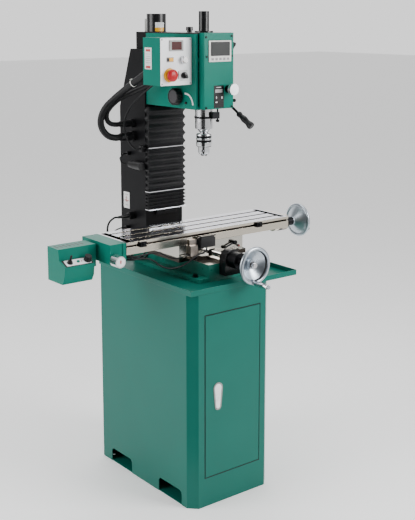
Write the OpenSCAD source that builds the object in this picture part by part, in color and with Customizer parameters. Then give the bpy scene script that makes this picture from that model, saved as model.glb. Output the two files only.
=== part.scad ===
// Bench mill-drill on a cabinet stand: motorised column lift, compound table
// with a power feed on the left, drill chuck in a rack-fed quill.
// Frame: millimetres, origin on the floor at the middle of the floor bolts,
// +X to the operator's right, +Y to the back, +Z up.

/* [Cabinet] */
// Cabinet width
cab_w = 340; // [336:1:344]
// Cabinet depth
cab_d = 540; // [536:1:544]
// Cabinet height up to the chip tray
cab_h = 728; // [722:1:734]
// Sheet thickness of the cabinet
cab_t = 2; // [1.5:0.5:2.5]
// Size of the chamfer on the two front corners
cab_chamfer = 28; // [24:1:32]
// Height of the fork slots
fork_h = 50; // [44:1:54]
// Hole radius for the floor bolts
floor_bolt_r = 6; // [5:0.5:7]
// Distance between floor bolts along X
floor_bolt_x = 280; // [270:1:288]
// Distance between floor bolts along Y
floor_bolt_y = 496; // [488:1:500]

/* [Machine] */
// How far the machine's centre plane lies right of the cabinet's
mx = 54; // [50:1:58]
// Table length
table_l = 700; // [696:1:704]
// Table width
table_w = 180; // [178:1:182]
// Table thickness
table_t = 40; // [39:0.5:41]
// Width of the T-slots' mouth
slot_w = 12; // [10:0.5:14]
// Distance between neighbouring T-slots
slot_pitch = 52; // [50:1:54]
// Outer radius of the handwheels
wheel_r = 63; // [61:1:64]

/* [Head] */
// Quill radius
quill_r = 30; // [29:0.5:31]
// Spindle axis, distance in front of the table's centre line
spindle_y = -46; // [-48:1:-44]
// Radius of the chuck's sleeve
chuck_r = 26.5; // [25:0.5:28]
// Radius of the hole that the jaws leave
jaw_r = 5; // [4:0.5:6]
// Rack pinion radius
pinion_r = 14; // [13.5:0.1:14]

/* [Hidden] */
$fn = 48;
gap = 0.3;         // between bodies that slide past each other
fit = 0.05;        // radial clearance of a running fit
ty = 2;            // centre line of the table
tray_z = cab_h + 3;
way_z = tray_z + 58;     // flats of the base on which the saddle rides
dove_h = 13;             // height of the base's dovetail
saddle_z = way_z + 57;   // underside of the table
table_z = saddle_z + table_t;
yscrew_z = way_z + 14;
xscrew_z = saddle_z - 4.5;
screw_r = 9;
journal_r = 8;
table_x0 = -292;
table_x1 = table_x0 + table_l;
col_x0 = mx - 80;
col_x1 = mx + 80;
col_y0 = 188;      // front face of the column
col_z0 = tray_z + 69;
col_top = 1488;
lift_y = 229;      // lift screw axis
lift_r = 10;
head_x0 = mx - 74;
head_x1 = mx + 74;
head_y0 = -100;
head_z0 = 1297;
head_z1 = 1544;
cover_y = -127;    // front face of the head's cover
pin_y = spindle_y + quill_r - 3 + pinion_r;
pin_z = 1343;      // height of the pinion shaft
fine_x = mx + 37;   // worm shaft of the fine feed
box_x0 = -146;
box_x1 = -21;
box_y0 = -76;
box_y1 = 21;
box_z0 = 1379;
box_z1 = 1533;
door_x0 = -114;
door_x1 = 115;
door_z0 = 102;
door_z1 = 653;
hinge_x = 109;
hinge_y = -cab_d / 2 + 3;
hinge_r = 2;
pull_x = -63;
pull_z = 370;
pull_h = 62;       // between the centres of the pull's end arcs
green = [0.03, 0.36, 0.24];
iron = [0.70, 0.70, 0.66];
dark = [0.12, 0.12, 0.13];
grey = [0.30, 0.30, 0.32];
steel = [0.78, 0.79, 0.80];

// Routes of the conduits and cables
conduit_a = [[-96, 21, 1425], [-96, 46, 1425], [-98, 90, 1405], [-107, 150, 1371],
             [-119, 192, 1343], [-134, 220, 1318], [-152, 240, 1292], [-162, 254, 1264],
             [-162, 264, 1234], [-152, 266, 1206], [-132, 261, 1185], [-108, 258, 1178],
             [-86, 258, 1178]];
conduit_b = [[-58, 21, 1392], [-58, 46, 1392], [-65, 110, 1368], [-80, 180, 1342],
             [-104, 228, 1318], [-126, 250, 1292], [-139, 260, 1266], [-136, 263, 1241],
             [-122, 262, 1228], [-104, 262, 1224], [-84, 262, 1224]];
lift_lead = [[-74, 21, 1386], [-74, 40, 1386], [-79, 112, 1346], [-84, 170, 1308],
             [-87, 206, 1272], [-87, 228, 1236], [-84, 230, 1200], [-76, 214, 1160],
             [-62, 196, 1140], [-44, 196, 1140]];
sensor_lead = [[-40, 288, 1113], [-54, 288, 1113], [-68, 290, 1098], [-64, 288, 1081],
               [-48, 280, 1077], [-42, 270, 1077], [-42, 262, 1077]];
power_lead = [[-95, 265, 888], [-112, 265, 888], [-131, 268, 874], [-137, 272, 850],
              [-131, 274, 824], [-114, 266, 796], [-96, 240, 768], [-82, 196, 754],
              [-68, 146, 757], [-54, 124, 784], [-50, 114, 800], [-50, 100, 800]];
signal_lead = [[-42, 300, 838], [-66, 300, 838], [-94, 298, 828], [-116, 288, 802],
               [-118, 262, 772], [-106, 200, 757], [-92, 146, 758], [-74, 122, 786],
               [-70, 114, 800], [-70, 100, 800]];
switch_lead = [[20, -104, 832], [20, -104, 822], [6, -106, 814], [-14, -106, 811],
               [-38, -106, 801], [-60, -104, 789], [-88, -100, 779], [-126, -97, 778],
               [-160, -95, 790], [-184, -94, 808],
               [-206, -94, 821], [-236, -94, 828], [-264, -94, 829], [-278, -89, 829],
               [-287, -80, 829], [-292, -80, 829]];
feed_lead = [[-292, -80, 838], [-287, -80, 838], [-278, -89, 838], [-264, -94, 839],
             [-176, -93, 839], [-154, -94, 830], [-130, -96, 817], [-100, -98, 809],
             [-64, -97, 812], [-45, -97, 812]];

// ---------- helpers ----------
module box(a, b) {
  translate(a) cube(b - a);
}

// Cylinder from point p along an axis
module along_x(p, l, r, r2 = -1) {
  translate(p) rotate([0, 90, 0]) cylinder(h = l, r1 = r, r2 = r2 < 0 ? r : r2);
}
module along_y(p, l, r, r2 = -1) {
  translate(p) rotate([-90, 0, 0]) cylinder(h = l, r1 = r, r2 = r2 < 0 ? r : r2);
}
module along_z(p, l, r, r2 = -1) {
  translate(p) cylinder(h = l, r1 = r, r2 = r2 < 0 ? r : r2);
}

// Outline in Y and Z, extruded from x0 to x1
module slab_x(x0, x1, outline) {
  translate([x0, 0, 0]) rotate([90, 0, 90]) linear_extrude(x1 - x0) polygon(outline);
}
// Outline in X and Z, extruded from y0 to y1
module slab_y(y0, y1, outline) {
  translate([0, y1, 0]) rotate([90, 0, 0]) linear_extrude(y1 - y0) polygon(outline);
}

function arc(x, y, r, a0, a1) =
  [for (i = [0:16]) let (a = a0 + (a1 - a0) * i / 16) [x + r * cos(a), y + r * sin(a)]];

function unit(v) = v / norm(v);
function plane_normal(route) =
  unit(cross(route[floor(len(route) / 2)] - route[0], route[len(route) - 1] - route[0]));
function tangent(route, i) =
  unit(route[min(i + 1, len(route) - 1)] - route[max(i - 1, 0)]);

// Round tube along a route
module tube(route, d, sides = 10) {
  flat = plane_normal(route);
  rings = [for (i = [0:len(route) - 1])
    let (t = tangent(route, i), n = unit(cross(t, flat)), b = cross(t, n))
    for (k = [0:sides - 1])
      route[i] + d / 2 * (cos(360 * k / sides) * n + sin(360 * k / sides) * b)];
  last = (len(route) - 1) * sides;
  walls = [for (i = [0:len(route) - 2]) for (k = [0:sides - 1])
    let (k2 = (k + 1) % sides)
    [i * sides + k, (i + 1) * sides + k, (i + 1) * sides + k2, i * sides + k2]];
  caps = [[for (k = [0:sides - 1]) k], [for (k = [sides - 1:-1:0]) last + k]];
  polyhedron(points = rings, faces = concat(walls, caps));
}

// Handwheel profile about its axis: rim at 0, hub behind it
module wheel_body(stud_angle) {
  difference() {
    union() {
      rotate_extrude($fn = 96) {
        translate([wheel_r - 7, 0]) circle(r = 7, $fn = 32);
        polygon([[wheel_r - 12, 2], [wheel_r - 8, -5], [16, -30], [12, -26]]);
      }
      translate([0, 0, -34]) cylinder(h = 24, r = 15);
      rotate([0, 0, stud_angle]) translate([wheel_r - 8, 0, -4]) cylinder(h = 13, r = 8);
      rotate([0, 0, stud_angle]) translate([wheel_r - 8, 0, 0]) cylinder(h = 82, r = 4);
      rotate([0, 0, stud_angle]) translate([wheel_r - 8, 0, 77]) cylinder(h = 5, r = 6.5);
    }
    translate([0, 0, -40]) cylinder(h = 60, r = journal_r);
  }
}
// Revolving sleeve on the handwheel's stud
module crank_sleeve() {
  translate([wheel_r - 8, 0, 0]) difference() {
    rotate_extrude() polygon([[0, 9.4], [7, 9.4], [9, 22], [9.5, 50], [8, 70],
                              [6.5, 76.6], [0, 76.6]]);
    translate([0, 0, 9]) cylinder(h = 68, r = 4 + fit);
  }
}
// Wheel on a screw that points right or to the front
module on_x_screw() {
  translate([541, ty, xscrew_z]) rotate([0, 90, 0]) children();
}
module on_y_screw() {
  translate([mx, -315, yscrew_z]) rotate([90, 0, 0]) children();
}

// ---------- cabinet ----------
function cab_outline(i) = let (w = cab_w / 2 - i, d = cab_d / 2 - i, c = cab_chamfer - 0.586 * i)
  [[-w, d], [-w, -d + c], [-w + c, -d], [w - c, -d], [w, -d + c], [w, d]];

module cab_plate(z, h, i) {
  translate([0, 0, z]) linear_extrude(h) polygon(cab_outline(i));
}

// Fork slot seen from the side, with rounded top corners
module fork_slot(y0, y1) {
  r = 14;
  box([-cab_w, y0, -1], [cab_w, y1, fork_h - r]);
  box([-cab_w, y0 + r, -1], [cab_w, y1 - r, fork_h]);
  along_x([-cab_w, y0 + r, fork_h - r], 2 * cab_w, r);
  along_x([-cab_w, y1 - r, fork_h - r], 2 * cab_w, r);
}

module cabinet_shell() color(green) {
  y0 = -cab_d / 2;
  edge = 2.5;      // gap around the door
  // bottom plate with the floor bolt holes, under the forks' passages
  difference() {
    cab_plate(0, 3, cab_t - 0.5);
    for (x = [-1, 1]) for (y = [-1, 1])
      along_z([x * floor_bolt_x / 2, y * floor_bolt_y / 2, -1], 9, floor_bolt_r);
  }
  difference() {
    union() {
      difference() {
        cab_plate(0, cab_h, 0);
        cab_plate(-1, cab_h + 2, cab_t);
      }
      // top flange with two rails under the machine's feet
      difference() {
        cab_plate(cab_h - 3, 3, cab_t - 0.5);
        box([-138, -238, cab_h - 9], [138, 238, cab_h + 1]);
      }
      box([-82, -cab_d / 2 + 1, cab_h - 3], [-24, cab_d / 2 - 1, cab_h]);
      // welded floor
      cab_plate(62, cab_t, cab_t - 0.5);
      // door frame
      box([door_x0 - edge - 2, y0 + 1, door_z0 - edge - 2],
          [door_x1 + edge + 2, y0 + 20, door_z1 + edge + 2]);
      // hinge lugs
      box([hinge_x - 8, y0 + 1, door_z1 + edge], [hinge_x + 8, y0 + 16, door_z1 + edge + 7]);
      box([hinge_x - 8, y0 + 1, door_z0 - edge - 7], [hinge_x + 8, y0 + 16, door_z0 - edge]);
    }
    box([door_x0 - edge, y0 - 1, door_z0 - edge], [door_x1 + edge, y0 + 30, door_z1 + edge]);
    fork_slot(-213, -82);
    fork_slot(83, 213);
    for (x = [-1, 1]) for (y = [-1, 1])
      along_z([x * floor_bolt_x / 2, y * floor_bolt_y / 2, -1], 9, floor_bolt_r);
    along_z([hinge_x, hinge_y, door_z0 - 20], door_z1 - door_z0 + 40, hinge_r);
    for (p = base_bolt_places()) along_z([p[0], p[1], cab_h - 9], 20, 5.5);
  }
}

module cabinet_door() color(green) {
  y0 = -cab_d / 2 - 1;
  depth = 16;
  difference() {
    box([door_x0, y0, door_z0], [door_x1, y0 + depth, door_z1]);
    box([door_x0 + 1.6, y0 + 1.6, door_z0 + 1.6],
        [door_x1 - 1.6, y0 + depth + 1, door_z1 - 1.6]);
    along_z([hinge_x, hinge_y, door_z0 - 1], door_z1 - door_z0 + 2, hinge_r + fit);
    translate([pull_x, y0 + 5, pull_z]) rotate([90, 0, 0]) linear_extrude(10)
      pull_outline(3.5);
  }
}

module door_hinge_pins() color(steel) {
  along_z([hinge_x, hinge_y, door_z0 - 8], 16, hinge_r);
  along_z([hinge_x, hinge_y, door_z1 - 8], 16, hinge_r);
}

// Drop-shaped outline, wide at the top, grown by g
module pull_outline(g) {
  lean = asin(6 / pull_h);
  polygon(concat(arc(0, pull_h / 2, 14 + g, -lean, 180 + lean),
                 arc(0, -pull_h / 2, 8 + g, 180 + lean, 360 - lean)));
}
module pull_slab(y0, y1, g) {
  translate([pull_x, y1, pull_z]) rotate([90, 0, 0]) linear_extrude(y1 - y0) pull_outline(g);
}

module door_pull_case() color(grey) {
  y0 = -cab_d / 2 - 1;
  difference() {
    union() {
      pull_slab(y0 - 2, y0, 5);
      pull_slab(y0 - 1, y0 + 15, 3.2);
    }
    pull_slab(y0 - 3, y0 + 13, 1.6);
    along_x([pull_x - 20, y0 + 2.5, pull_z + 32], 40, 1.5 + fit);
  }
}

module door_pull_paddle() color([0.92, 0.92, 0.92]) {
  y0 = -cab_d / 2 - 1;
  pull_slab(y0 - 1.9, y0 + 0.5, 0);
  box([pull_x - 7, y0 + 0.4, pull_z + 29], [pull_x + 7, y0 + 4, pull_z + 35]);
  along_x([pull_x - 16, y0 + 2.5, pull_z + 32], 32, 1.5);
}

// ---------- tray and base ----------
function base_bolt_places() = [for (x = [mx - 106, mx + 99]) for (y = [-136, 176]) [x, y]];

module chip_tray() color(green) {
  difference() {
    box([-174, -274, cab_h], [278, 274, cab_h + 18]);
    box([-171.5, -271.5, tray_z], [275.5, 271.5, cab_h + 19]);
    for (p = base_bolt_places()) along_z([p[0], p[1], cab_h - 1], 9, 5.5);
  }
}

// Cross-section of a dovetail in X and Z: narrow at z0, wide at z1
function dovetail(c, half, z0, z1, lean) =
  [[c - half + lean, z0], [c + half - lean, z0], [c + half, z1], [c - half, z1]];

module machine_base() color(green) {
  x0 = mx - 79;
  x1 = mx + 78;
  difference() {
    union() {
      box([x0, -173, tray_z], [x1, 181, way_z]);
      slab_y(-173, 182, dovetail(mx, 38, way_z - 0.01, way_z + dove_h, 8));
      // column pad
      box([x0 - 5, 180, tray_z], [x1 + 6, 268, col_z0]);
      // feet
      box([mx - 120, -173, tray_z], [mx + 119, 205, tray_z + 14]);
    }
    box([x0 + 12, -161, tray_z - 1], [x1 - 12, 256, way_z - 16]);
    box([mx - 16, -174, way_z - 8], [mx + 16, 180.5, way_z + dove_h + 1]);
    for (p = base_bolt_places()) along_z([p[0], p[1], tray_z - 1], 20, 5.5);
  }
}

module base_bolts() color(dark) {
  for (p = base_bolt_places()) {
    along_z([p[0], p[1], tray_z + 14], 2, 11);
    along_z([p[0], p[1], tray_z + 16], 8, 8);
    along_z([p[0], p[1], cab_h - 20], 37, 5);
    translate([p[0], p[1], cab_h - 12]) cylinder(h = 9, r = 9, $fn = 6);
  }
}

module y_bearing_bracket() color(dark) {
  difference() {
    union() {
      box([mx - 34, -205, tray_z + 19], [mx + 34, -173, yscrew_z]);
      along_y([mx, -205, yscrew_z], 32, 34);
    }
    along_y([mx, -206, yscrew_z], 34, journal_r + fit);
    along_y([mx, -181, yscrew_z], 9, 14);
  }
}

module y_leadscrew() color(steel) {
  along_y([mx, -318, yscrew_z], 137, journal_r);
  along_y([mx, -181, yscrew_z], 8, 12);
  along_y([mx, -173, yscrew_z], 303, screw_r);
  // hub nut
  translate([mx, -305, yscrew_z]) rotate([90, 0, 0]) difference() {
    cylinder(h = 10, r = 10.5, $fn = 6);
    translate([0, 0, -1]) cylinder(h = 12, r = journal_r);
  }
}

module y_dial() color(dark) {
  difference() {
    union() {
      along_y([mx, -244, yscrew_z], 38.4, 28);
      along_y([mx, -281, yscrew_z], 37, 16);
    }
    along_y([mx, -290, yscrew_z], 100, journal_r);
  }
}
module y_handwheel() color(steel) on_y_screw() wheel_body(-100);
module y_crank_handle() color(steel) on_y_screw() rotate([0, 0, -100]) crank_sleeve();

// ---------- saddle ----------
module plate_at(z, h, outline) {
  translate([0, 0, z]) linear_extrude(h) polygon(outline);
}

module saddle() color(iron) {
  x0 = mx - 138;
  x1 = mx + 138;
  y0 = ty - table_w / 2;
  y1 = ty + table_w / 2;
  low = way_z + gap;
  difference() {
    union() {
      difference() {
        union() {
          box([x0, y0, low], [x1, y1, saddle_z - gap]);
          // upper dovetail, under the table
          slab_x(x0, x1, dovetail(ty, 46, saddle_z - 1, saddle_z + 15, 9));
          // front apron over the ways
          plate_at(low, 15, [[mx - 78, y0 + 5], [mx - 74, -104], [mx - 34, -118],
                             [x1 - 6, -112], [x1, y0 + 5]]);
        }
        // lower dovetail
        slab_y(-200, 200, dovetail(mx, 38 + gap, way_z, way_z + dove_h + gap, 8));
      }
      // nut of the cross screw, hanging into the base's trough
      box([mx - 13, -30, way_z - 4], [mx + 13, 34, yscrew_z + 4]);
    }
    // cross screw's tunnel, closed by the nut boss in the middle
    box([mx - 14, -200, way_z - 1], [mx + 14, -30, yscrew_z + 14]);
    box([mx - 14, 34, way_z - 1], [mx + 14, 200, yscrew_z + 14]);
    along_y([mx, -40, yscrew_z], 80, screw_r + fit);
    // long screw's channel, closed by the nut boss in the middle
    box([x0 - 1, ty - 14, xscrew_z - 12], [mx - 22, ty + 14, saddle_z + 20]);
    box([mx + 22, ty - 14, xscrew_z - 12], [x1 + 1, ty + 14, saddle_z + 20]);
    box([mx - 30, ty - 14, xscrew_z + 12], [mx + 30, ty + 14, saddle_z + 20]);
    along_x([mx - 30, ty, xscrew_z], 60, screw_r + fit);
    // hole for the lock lever's screw
    along_y([mx + 94, y0 - 1, 828], 25, 5 + fit);
  }
  // cable sockets at the back
  for (x = [-70, -50]) along_y([x, y1 - 1, 800], 9, 7);
}

module saddle_lock_lever() color(dark) {
  p = [mx + 94, ty - table_w / 2, 828];
  along_y([p[0], p[1] - 1, p[2]], 20, 5);
  along_y([p[0], p[1] - 15, p[2]], 14.4, 8);
  translate([p[0], p[1] - 8, p[2]]) rotate([0, -108, 0]) {
    cylinder(h = 44, r = 3.2);
    translate([0, 0, 42]) sphere(r = 6);
  }
}

module limit_switch() color(dark) {
  y0 = ty - table_w / 2;
  // bracket on the saddle's front
  box([-45, -102, 806], [-14, y0, 842]);
  box([-45, -95, 826], [20, -91, 862]);
  // switch body with a plunger at each end
  box([-9, -113, 832], [51, -94, 864]);
  box([-6, -110, 863], [48, -96, 871]);
  along_x([-17, -103, 868], 76, 2.5);
}

// ---------- table ----------
module t_slot(y) {
  x0 = table_x0 + 25;
  x1 = table_x1 - 25;
  box([x0, y - slot_w / 2, table_z - 13], [x1, y + slot_w / 2, table_z + 1]);
  box([x0, y - slot_w / 2 - 4, table_z - 20], [x1, y + slot_w / 2 + 4, table_z - 12]);
}

module table() color(iron) {
  y0 = ty - table_w / 2;
  y1 = ty + table_w / 2;
  difference() {
    box([table_x0, y0, saddle_z], [table_x1, y1, table_z]);
    for (i = [-1:1]) t_slot(ty + i * slot_pitch);
    // coolant troughs at both ends
    for (x = [table_x0 + 8, table_x1 - 28])
      box([x, y0 + 10, table_z - 12], [x + 20, y1 - 10, table_z + 1]);
    // stop groove along the front
    box([table_x0 - 1, y0 - 1, saddle_z + 24], [table_x1 + 1, y0 + 4, saddle_z + 31]);
    box([table_x0 - 1, y0 + 3, saddle_z + 22], [table_x1 + 1, y0 + 8, saddle_z + 33]);
    // dovetail on the saddle
    slab_x(table_x0 - 1, table_x1 + 1,
           dovetail(ty, 46 + 2 * gap, saddle_z - 1 + gap, saddle_z + 15 + gap, 9));
  }
}

module table_end_bracket() color(iron) {
  difference() {
    union() {
      box([table_x1, ty - 62, xscrew_z - 8], [table_x1 + 22, ty + 62, table_z - 2]);
      along_x([table_x1, ty, xscrew_z], 22, 27);
    }
    along_x([table_x1 - 1, ty, xscrew_z], 30, journal_r + fit);
    along_x([table_x1 - 1, ty, xscrew_z], 9, 14);
  }
}

module x_leadscrew() color(steel) {
  along_x([-340, ty, xscrew_z], 60, journal_r);
  along_x([-286, ty, xscrew_z], 686, screw_r);
  along_x([400, ty, xscrew_z], 7, 12);
  along_x([407, ty, xscrew_z], 137, journal_r);
  translate([531, ty, xscrew_z]) rotate([0, 90, 0]) difference() {
    cylinder(h = 10, r = 10.5, $fn = 6);
    translate([0, 0, -1]) cylinder(h = 12, r = journal_r);
  }
}

module x_dial() color(dark) {
  difference() {
    union() {
      along_x([430.6, ty, xscrew_z], 39, 28);
      along_x([469, ty, xscrew_z], 38, 16);
    }
    along_x([420, ty, xscrew_z], 100, journal_r);
  }
}
module x_handwheel() color(steel) on_x_screw() wheel_body(27);
module x_crank_handle() color(steel) on_x_screw() rotate([0, 0, 27]) crank_sleeve();

module table_stops() color(dark) {
  y0 = ty - table_w / 2;
  for (x = [-232, 263]) {
    box([x - 12, y0 - 10, 866.5], [x + 12, y0, 884]);
    box([x - 9, y0 - 1, saddle_z + 24.2], [x + 9, y0 + 3.5, saddle_z + 30.8]);
    box([x - 9, y0 + 3.2, saddle_z + 22.2], [x + 9, y0 + 7.8, saddle_z + 32.8]);
    along_y([x, y0 - 16, 875], 7, 4.5);
  }
}

// ---------- power feed ----------
module feed_gearbox() color(green) {
  difference() {
    union() {
      box([-351, -83, 822], [-303, 88, table_z]);
      box([-304, -86, 824], [table_x0, 90, table_z]);
      // pads that carry the housing
      box([-360, 4, 830], [-350, 44, 872]);
    }
    box([-346, -78, 827], [-308, 83, 881]);
    along_x([-310, ty, xscrew_z], 30, journal_r + fit);
    along_y([-338, -90, 837], 14, 6 + fit);
  }
}

module feed_housing() color(green) {
  front = [[56, 770], [-35, 771], [-47, 791], [-53, 829], [-17, 845], [-12, 880], [56, 880]];
  inner = [[52, 774], [-33, 775], [-43, 792], [-48, 827], [-13, 841], [-8, 876], [52, 876]];
  difference() {
    union() {
      slab_x(-498, -390, front);
      box([-391, -12, 806], [-360, 56, 880]);
    }
    slab_x(-494, -394, inner);
    box([-396, -8, 810], [-364, 52, 876]);
    on_feed_panel(-470) translate([0, 0, -5]) cylinder(h = 9, r = 4 + fit);
    on_feed_panel(-406) translate([0, 0, -5]) cylinder(h = 9, r = 4 + fit);
  }
  // start button and its collar
  on_feed_panel(-440) cylinder(h = 4, r = 5);
}

// The sloping control panel, at x along it
module on_feed_panel(x) {
  slope = atan2(16, 36);
  translate([x, -35, 837]) rotate([slope, 0, 0]) children();
}

module feed_lever() color(dark) on_feed_panel(-470) {
  translate([0, 0, -7]) cylinder(h = 9, r = 4);
  translate([0, 0, 1]) cylinder(h = 8, r1 = 10, r2 = 7);
  translate([0, 0, 8]) cylinder(h = 20, r1 = 4, r2 = 3);
  translate([0, 0, 27]) sphere(r = 3.6);
}

module feed_speed_knob() color(dark) on_feed_panel(-406) {
  translate([0, 0, -7]) cylinder(h = 9, r = 4);
  translate([0, 0, 1]) cylinder(h = 17, r1 = 13, r2 = 11);
}

module clutch_knob() color(steel) {
  along_y([-338, -92, 837], 16, 6);
  along_y([-338, -124, 837], 34, 19);
}

// ---------- column ----------
module column() color(grey) {
  outline = [[col_y0, col_z0], [351, col_z0], [351, 1280], [277, col_top], [col_y0, col_top]];
  cavity = [[col_y0 + 12, col_z0 + 12], [343, col_z0 + 12], [343, 1278], [270, col_top - 10],
            [col_y0 + 12, col_top - 10]];
  difference() {
    union() {
      slab_x(col_x0, col_x1, outline);
      // dovetail ways: wide at the front
      translate([0, 0, 900]) linear_extrude(col_top - 900)
        polygon([[mx - 36, col_y0 + 1], [mx - 44, 172], [mx + 44, 172], [mx + 36, col_y0 + 1]]);
    }
    slab_x(col_x0 + 8, col_x1 - 8, cavity);
    // slot for the lift nut's arm
    box([mx - 22, 160, 1160], [mx + 22, col_y0 + 20, col_top - 10]);
    // thrust bearing of the lift screw
    along_z([mx, lift_y, col_top - 20], 40, journal_r + fit);
  }
}

module lift_housing() color(dark) {
  difference() {
    box([mx - 55, col_y0, col_top], [mx + 55, 277, 1547]);
    box([mx - 51, col_y0 + 4, col_top - 1], [mx + 51, 273, 1543]);
    along_z([mx, lift_y, 1540], 9, 12.2);
  }
}

module lift_motor() color(dark) {
  along_z([mx, lift_y, 1547], 63, 34.5);
  along_z([mx, lift_y, 1532], 16, 12);
  box([mx - 18, 246, 1547], [mx + 10, 274, 1592]);
}

module z_leadscrew() color(steel) {
  along_z([mx, lift_y, 1000], col_top - 1011, lift_r);
  along_z([mx, lift_y, col_top - 12], 40, journal_r);
  along_z([mx, lift_y, 1502], 29.7, 18);
}

// Folded cover over the column's ways
module bellows() color(dark) {
  z0 = 918;
  z1 = 1290;
  folds = 23;
  pitch = (z1 - z0) / folds;
  front = [for (i = [0:folds]) each (i < folds
    ? [[162, z0 + i * pitch], [170, z0 + (i + 0.5) * pitch]] : [[162, z1]])];
  back = [for (i = [folds:-1:0]) each (i > 0
    ? [[164, z0 + i * pitch], [171.6, z0 + (i - 0.5) * pitch]] : [[164, z0]])];
  slab_x(mx - 84, mx + 81, concat(front, back));
  for (x = [mx - 84, mx + 78]) box([x, 163, z0], [x + 3, col_y0, z1]);
}

module column_fittings() color(dark) {
  // glands of the two conduits
  for (g = [[262, 1224, 84, 10.5], [258, 1178, 86, 14]]) {
    along_x([-40, g[0], g[1]], 14, g[3] + 5);
    along_x([-g[2], g[0], g[1]], g[2] - 40, g[3], g[3] + 2);
  }
  // lift limit sensor
  box([-44, col_y0 + 0.5, 1128], [col_x0, 204, 1150]);
  // round connector of the lift motor on its bracket
  along_y([-42, col_y0 + 0.5, 1077], 238 - col_y0 - 0.5, 15);
  along_y([-42, 238, 1077], 24, 12.5);
  box([-34, 190, 1066], [col_x0, 230, 1088]);
  along_x([-40, 288, 1113], 14, 7.5);
  tube(sensor_lead, 5, 8);
  // power and signal sockets
  along_x([-52, 265, 888], 26, 14);
  along_x([-95, 265, 888], 43, 4.5, 8);
  along_x([-42, 300, 838], 16, 8);
}

// ---------- head ----------
module head_casting() color(green) {
  x0 = head_x0;
  x1 = head_x1;
  w = 8;
  difference() {
    union() {
      difference() {
        box([x0, head_y0, head_z0], [x1, col_y0 - 0.5, head_z1]);
        box([x0 + w, head_y0 - 1, head_z0 + 10], [x1 - w, 148, head_z1 + 1]);
      }
      // quill housing, pulley web and motor seat
      along_z([mx, spindle_y, head_z0], 124, quill_r + 12);
      box([x0 + w - 1, head_y0 + 4, 1455], [x1 - w + 1, 20, 1467]);
      // lift nut's arm
      box([mx - 17, col_y0 - 20, 1388], [mx + 17, lift_y + 20, 1410]);
      // boss of the pinion shaft
      along_x([x1 - 14, pin_y, pin_z], 18, 18);
    }
    along_z([mx, spindle_y, head_z0 - 1], 126, quill_r + fit);
    along_z([mx, spindle_y, 1454], 14, 22 + fit);
    // pinion: shaft bore, and room for it and the worm wheel
    along_x([mx - 24, pin_y, pin_z], x1 - mx + 34, 10 + fit);
    along_x([mx - 15, pin_y, pin_z], 57, pinion_r + 1.5);
    // dovetail on the column's ways
    translate([0, 0, head_z0 - 1]) linear_extrude(head_z1 - head_z0 + 2)
      polygon([[mx - 36 - gap, col_y0 + 1], [mx - 44 - gap, 172 - gap],
               [mx + 44 + gap, 172 - gap], [mx + 36 + gap, col_y0 + 1]]);
    along_z([mx, lift_y, 1380], 40, lift_r + fit);
    // lock lever, range knob and worm shaft
    along_x([x1 - 12, -82, 1325], 20, 4 + fit);
    along_x([x0 - 1, -2, 1336], 12, 6 + fit);
    along_y([fine_x, -101, pin_z + 20], 130, 5 + fit);
    // depth rod
    along_z([mx + 27, -86, head_z0 - 1], 12, 3.5);
  }
  // the part of the arm that reaches through the dovetail's room
  difference() {
    box([mx - 17, 160, 1388], [mx + 17, lift_y + 20, 1410]);
    along_z([mx, lift_y, 1380], 40, lift_r + fit);
  }
}

module front_cover() color(green) {
  difference() {
    box([mx - 61, cover_y, head_z0 + 2], [mx + 61, head_y0, 1548]);
    box([mx - 58, cover_y + 3, head_z0 + 5], [mx + 58, head_y0 + 1, 1545]);
    along_y([fine_x, cover_y - 1, pin_z + 20], 6, 5 + fit);
  }
}

module top_cover() color(dark) {
  difference() {
    union() {
      box([head_x0, head_y0, head_z1], [head_x1, 150, head_z1 + 4]);
      along_z([mx, 34, head_z1 + 3], 8, 8.5);
      along_z([mx, 34, head_z1 + 9], 13, 12.5, 11.5);
    }
    along_z([mx, spindle_y, head_z1 - 1], 6, 16);
  }
}

module drawbar_cap() color(dark) {
  z0 = head_z1 + 4;
  difference() {
    union() {
      along_z([mx, spindle_y, z0], 5, 31);
      along_z([mx, spindle_y, z0], 70, 17.5);
    }
    along_z([mx, spindle_y, z0 - 1], 67, 14.5);
  }
}

module quill() color(steel) {
  difference() {
    along_z([mx, spindle_y, 1227], 195, quill_r);
    along_z([mx, spindle_y, 1220], 210, 12 + fit);
    // flat that carries the rack
    box([mx - 14, spindle_y + quill_r - 3, 1262], [mx + 14, spindle_y + quill_r + 2, 1430]);
  }
}

module spindle() color(steel) {
  along_z([mx, spindle_y, 1200], 338, 12);
  along_z([mx, spindle_y, 1213], 13.4, 14, 24);
}

module drill_chuck() color(steel) {
  difference() {
    translate([mx, spindle_y, 0]) rotate_extrude()
      polygon([[0, 1138], [17, 1138], [19, 1141], [19, 1163], [chuck_r - 1, 1166],
               [chuck_r, 1169], [chuck_r, 1204], [22, 1212.6], [0, 1212.6]]);
    along_z([mx, spindle_y, 1137], 40, 11);
    along_z([mx, spindle_y, 1199], 20, 12);
    along_x([mx - 21, spindle_y, 1151], 5, 3);
  }
  // three jaws around the bore
  difference() {
    along_z([mx, spindle_y, 1134], 34, 10.6);
    along_z([mx, spindle_y, 1133], 36, jaw_r);
    for (a = [0, 120, 240]) translate([mx, spindle_y, 1133]) rotate([0, 0, a])
      translate([0, -2.5, 0]) cube([20, 5, 36]);
  }
}

module depth_rod() color(dark) {
  x = mx + 27;
  y = -86;
  difference() {
    union() {
      along_z([mx, spindle_y, 1262], 7, quill_r + 2.5);
      box([mx + 4, spindle_y - 44, 1262], [x + 6, spindle_y - 24, 1284]);
    }
    along_z([mx, spindle_y, 1261], 30, quill_r);
  }
  along_z([x, y, 1256], 50, 3);
  along_z([x, y, 1250], 8, 5, 7);
}

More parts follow.
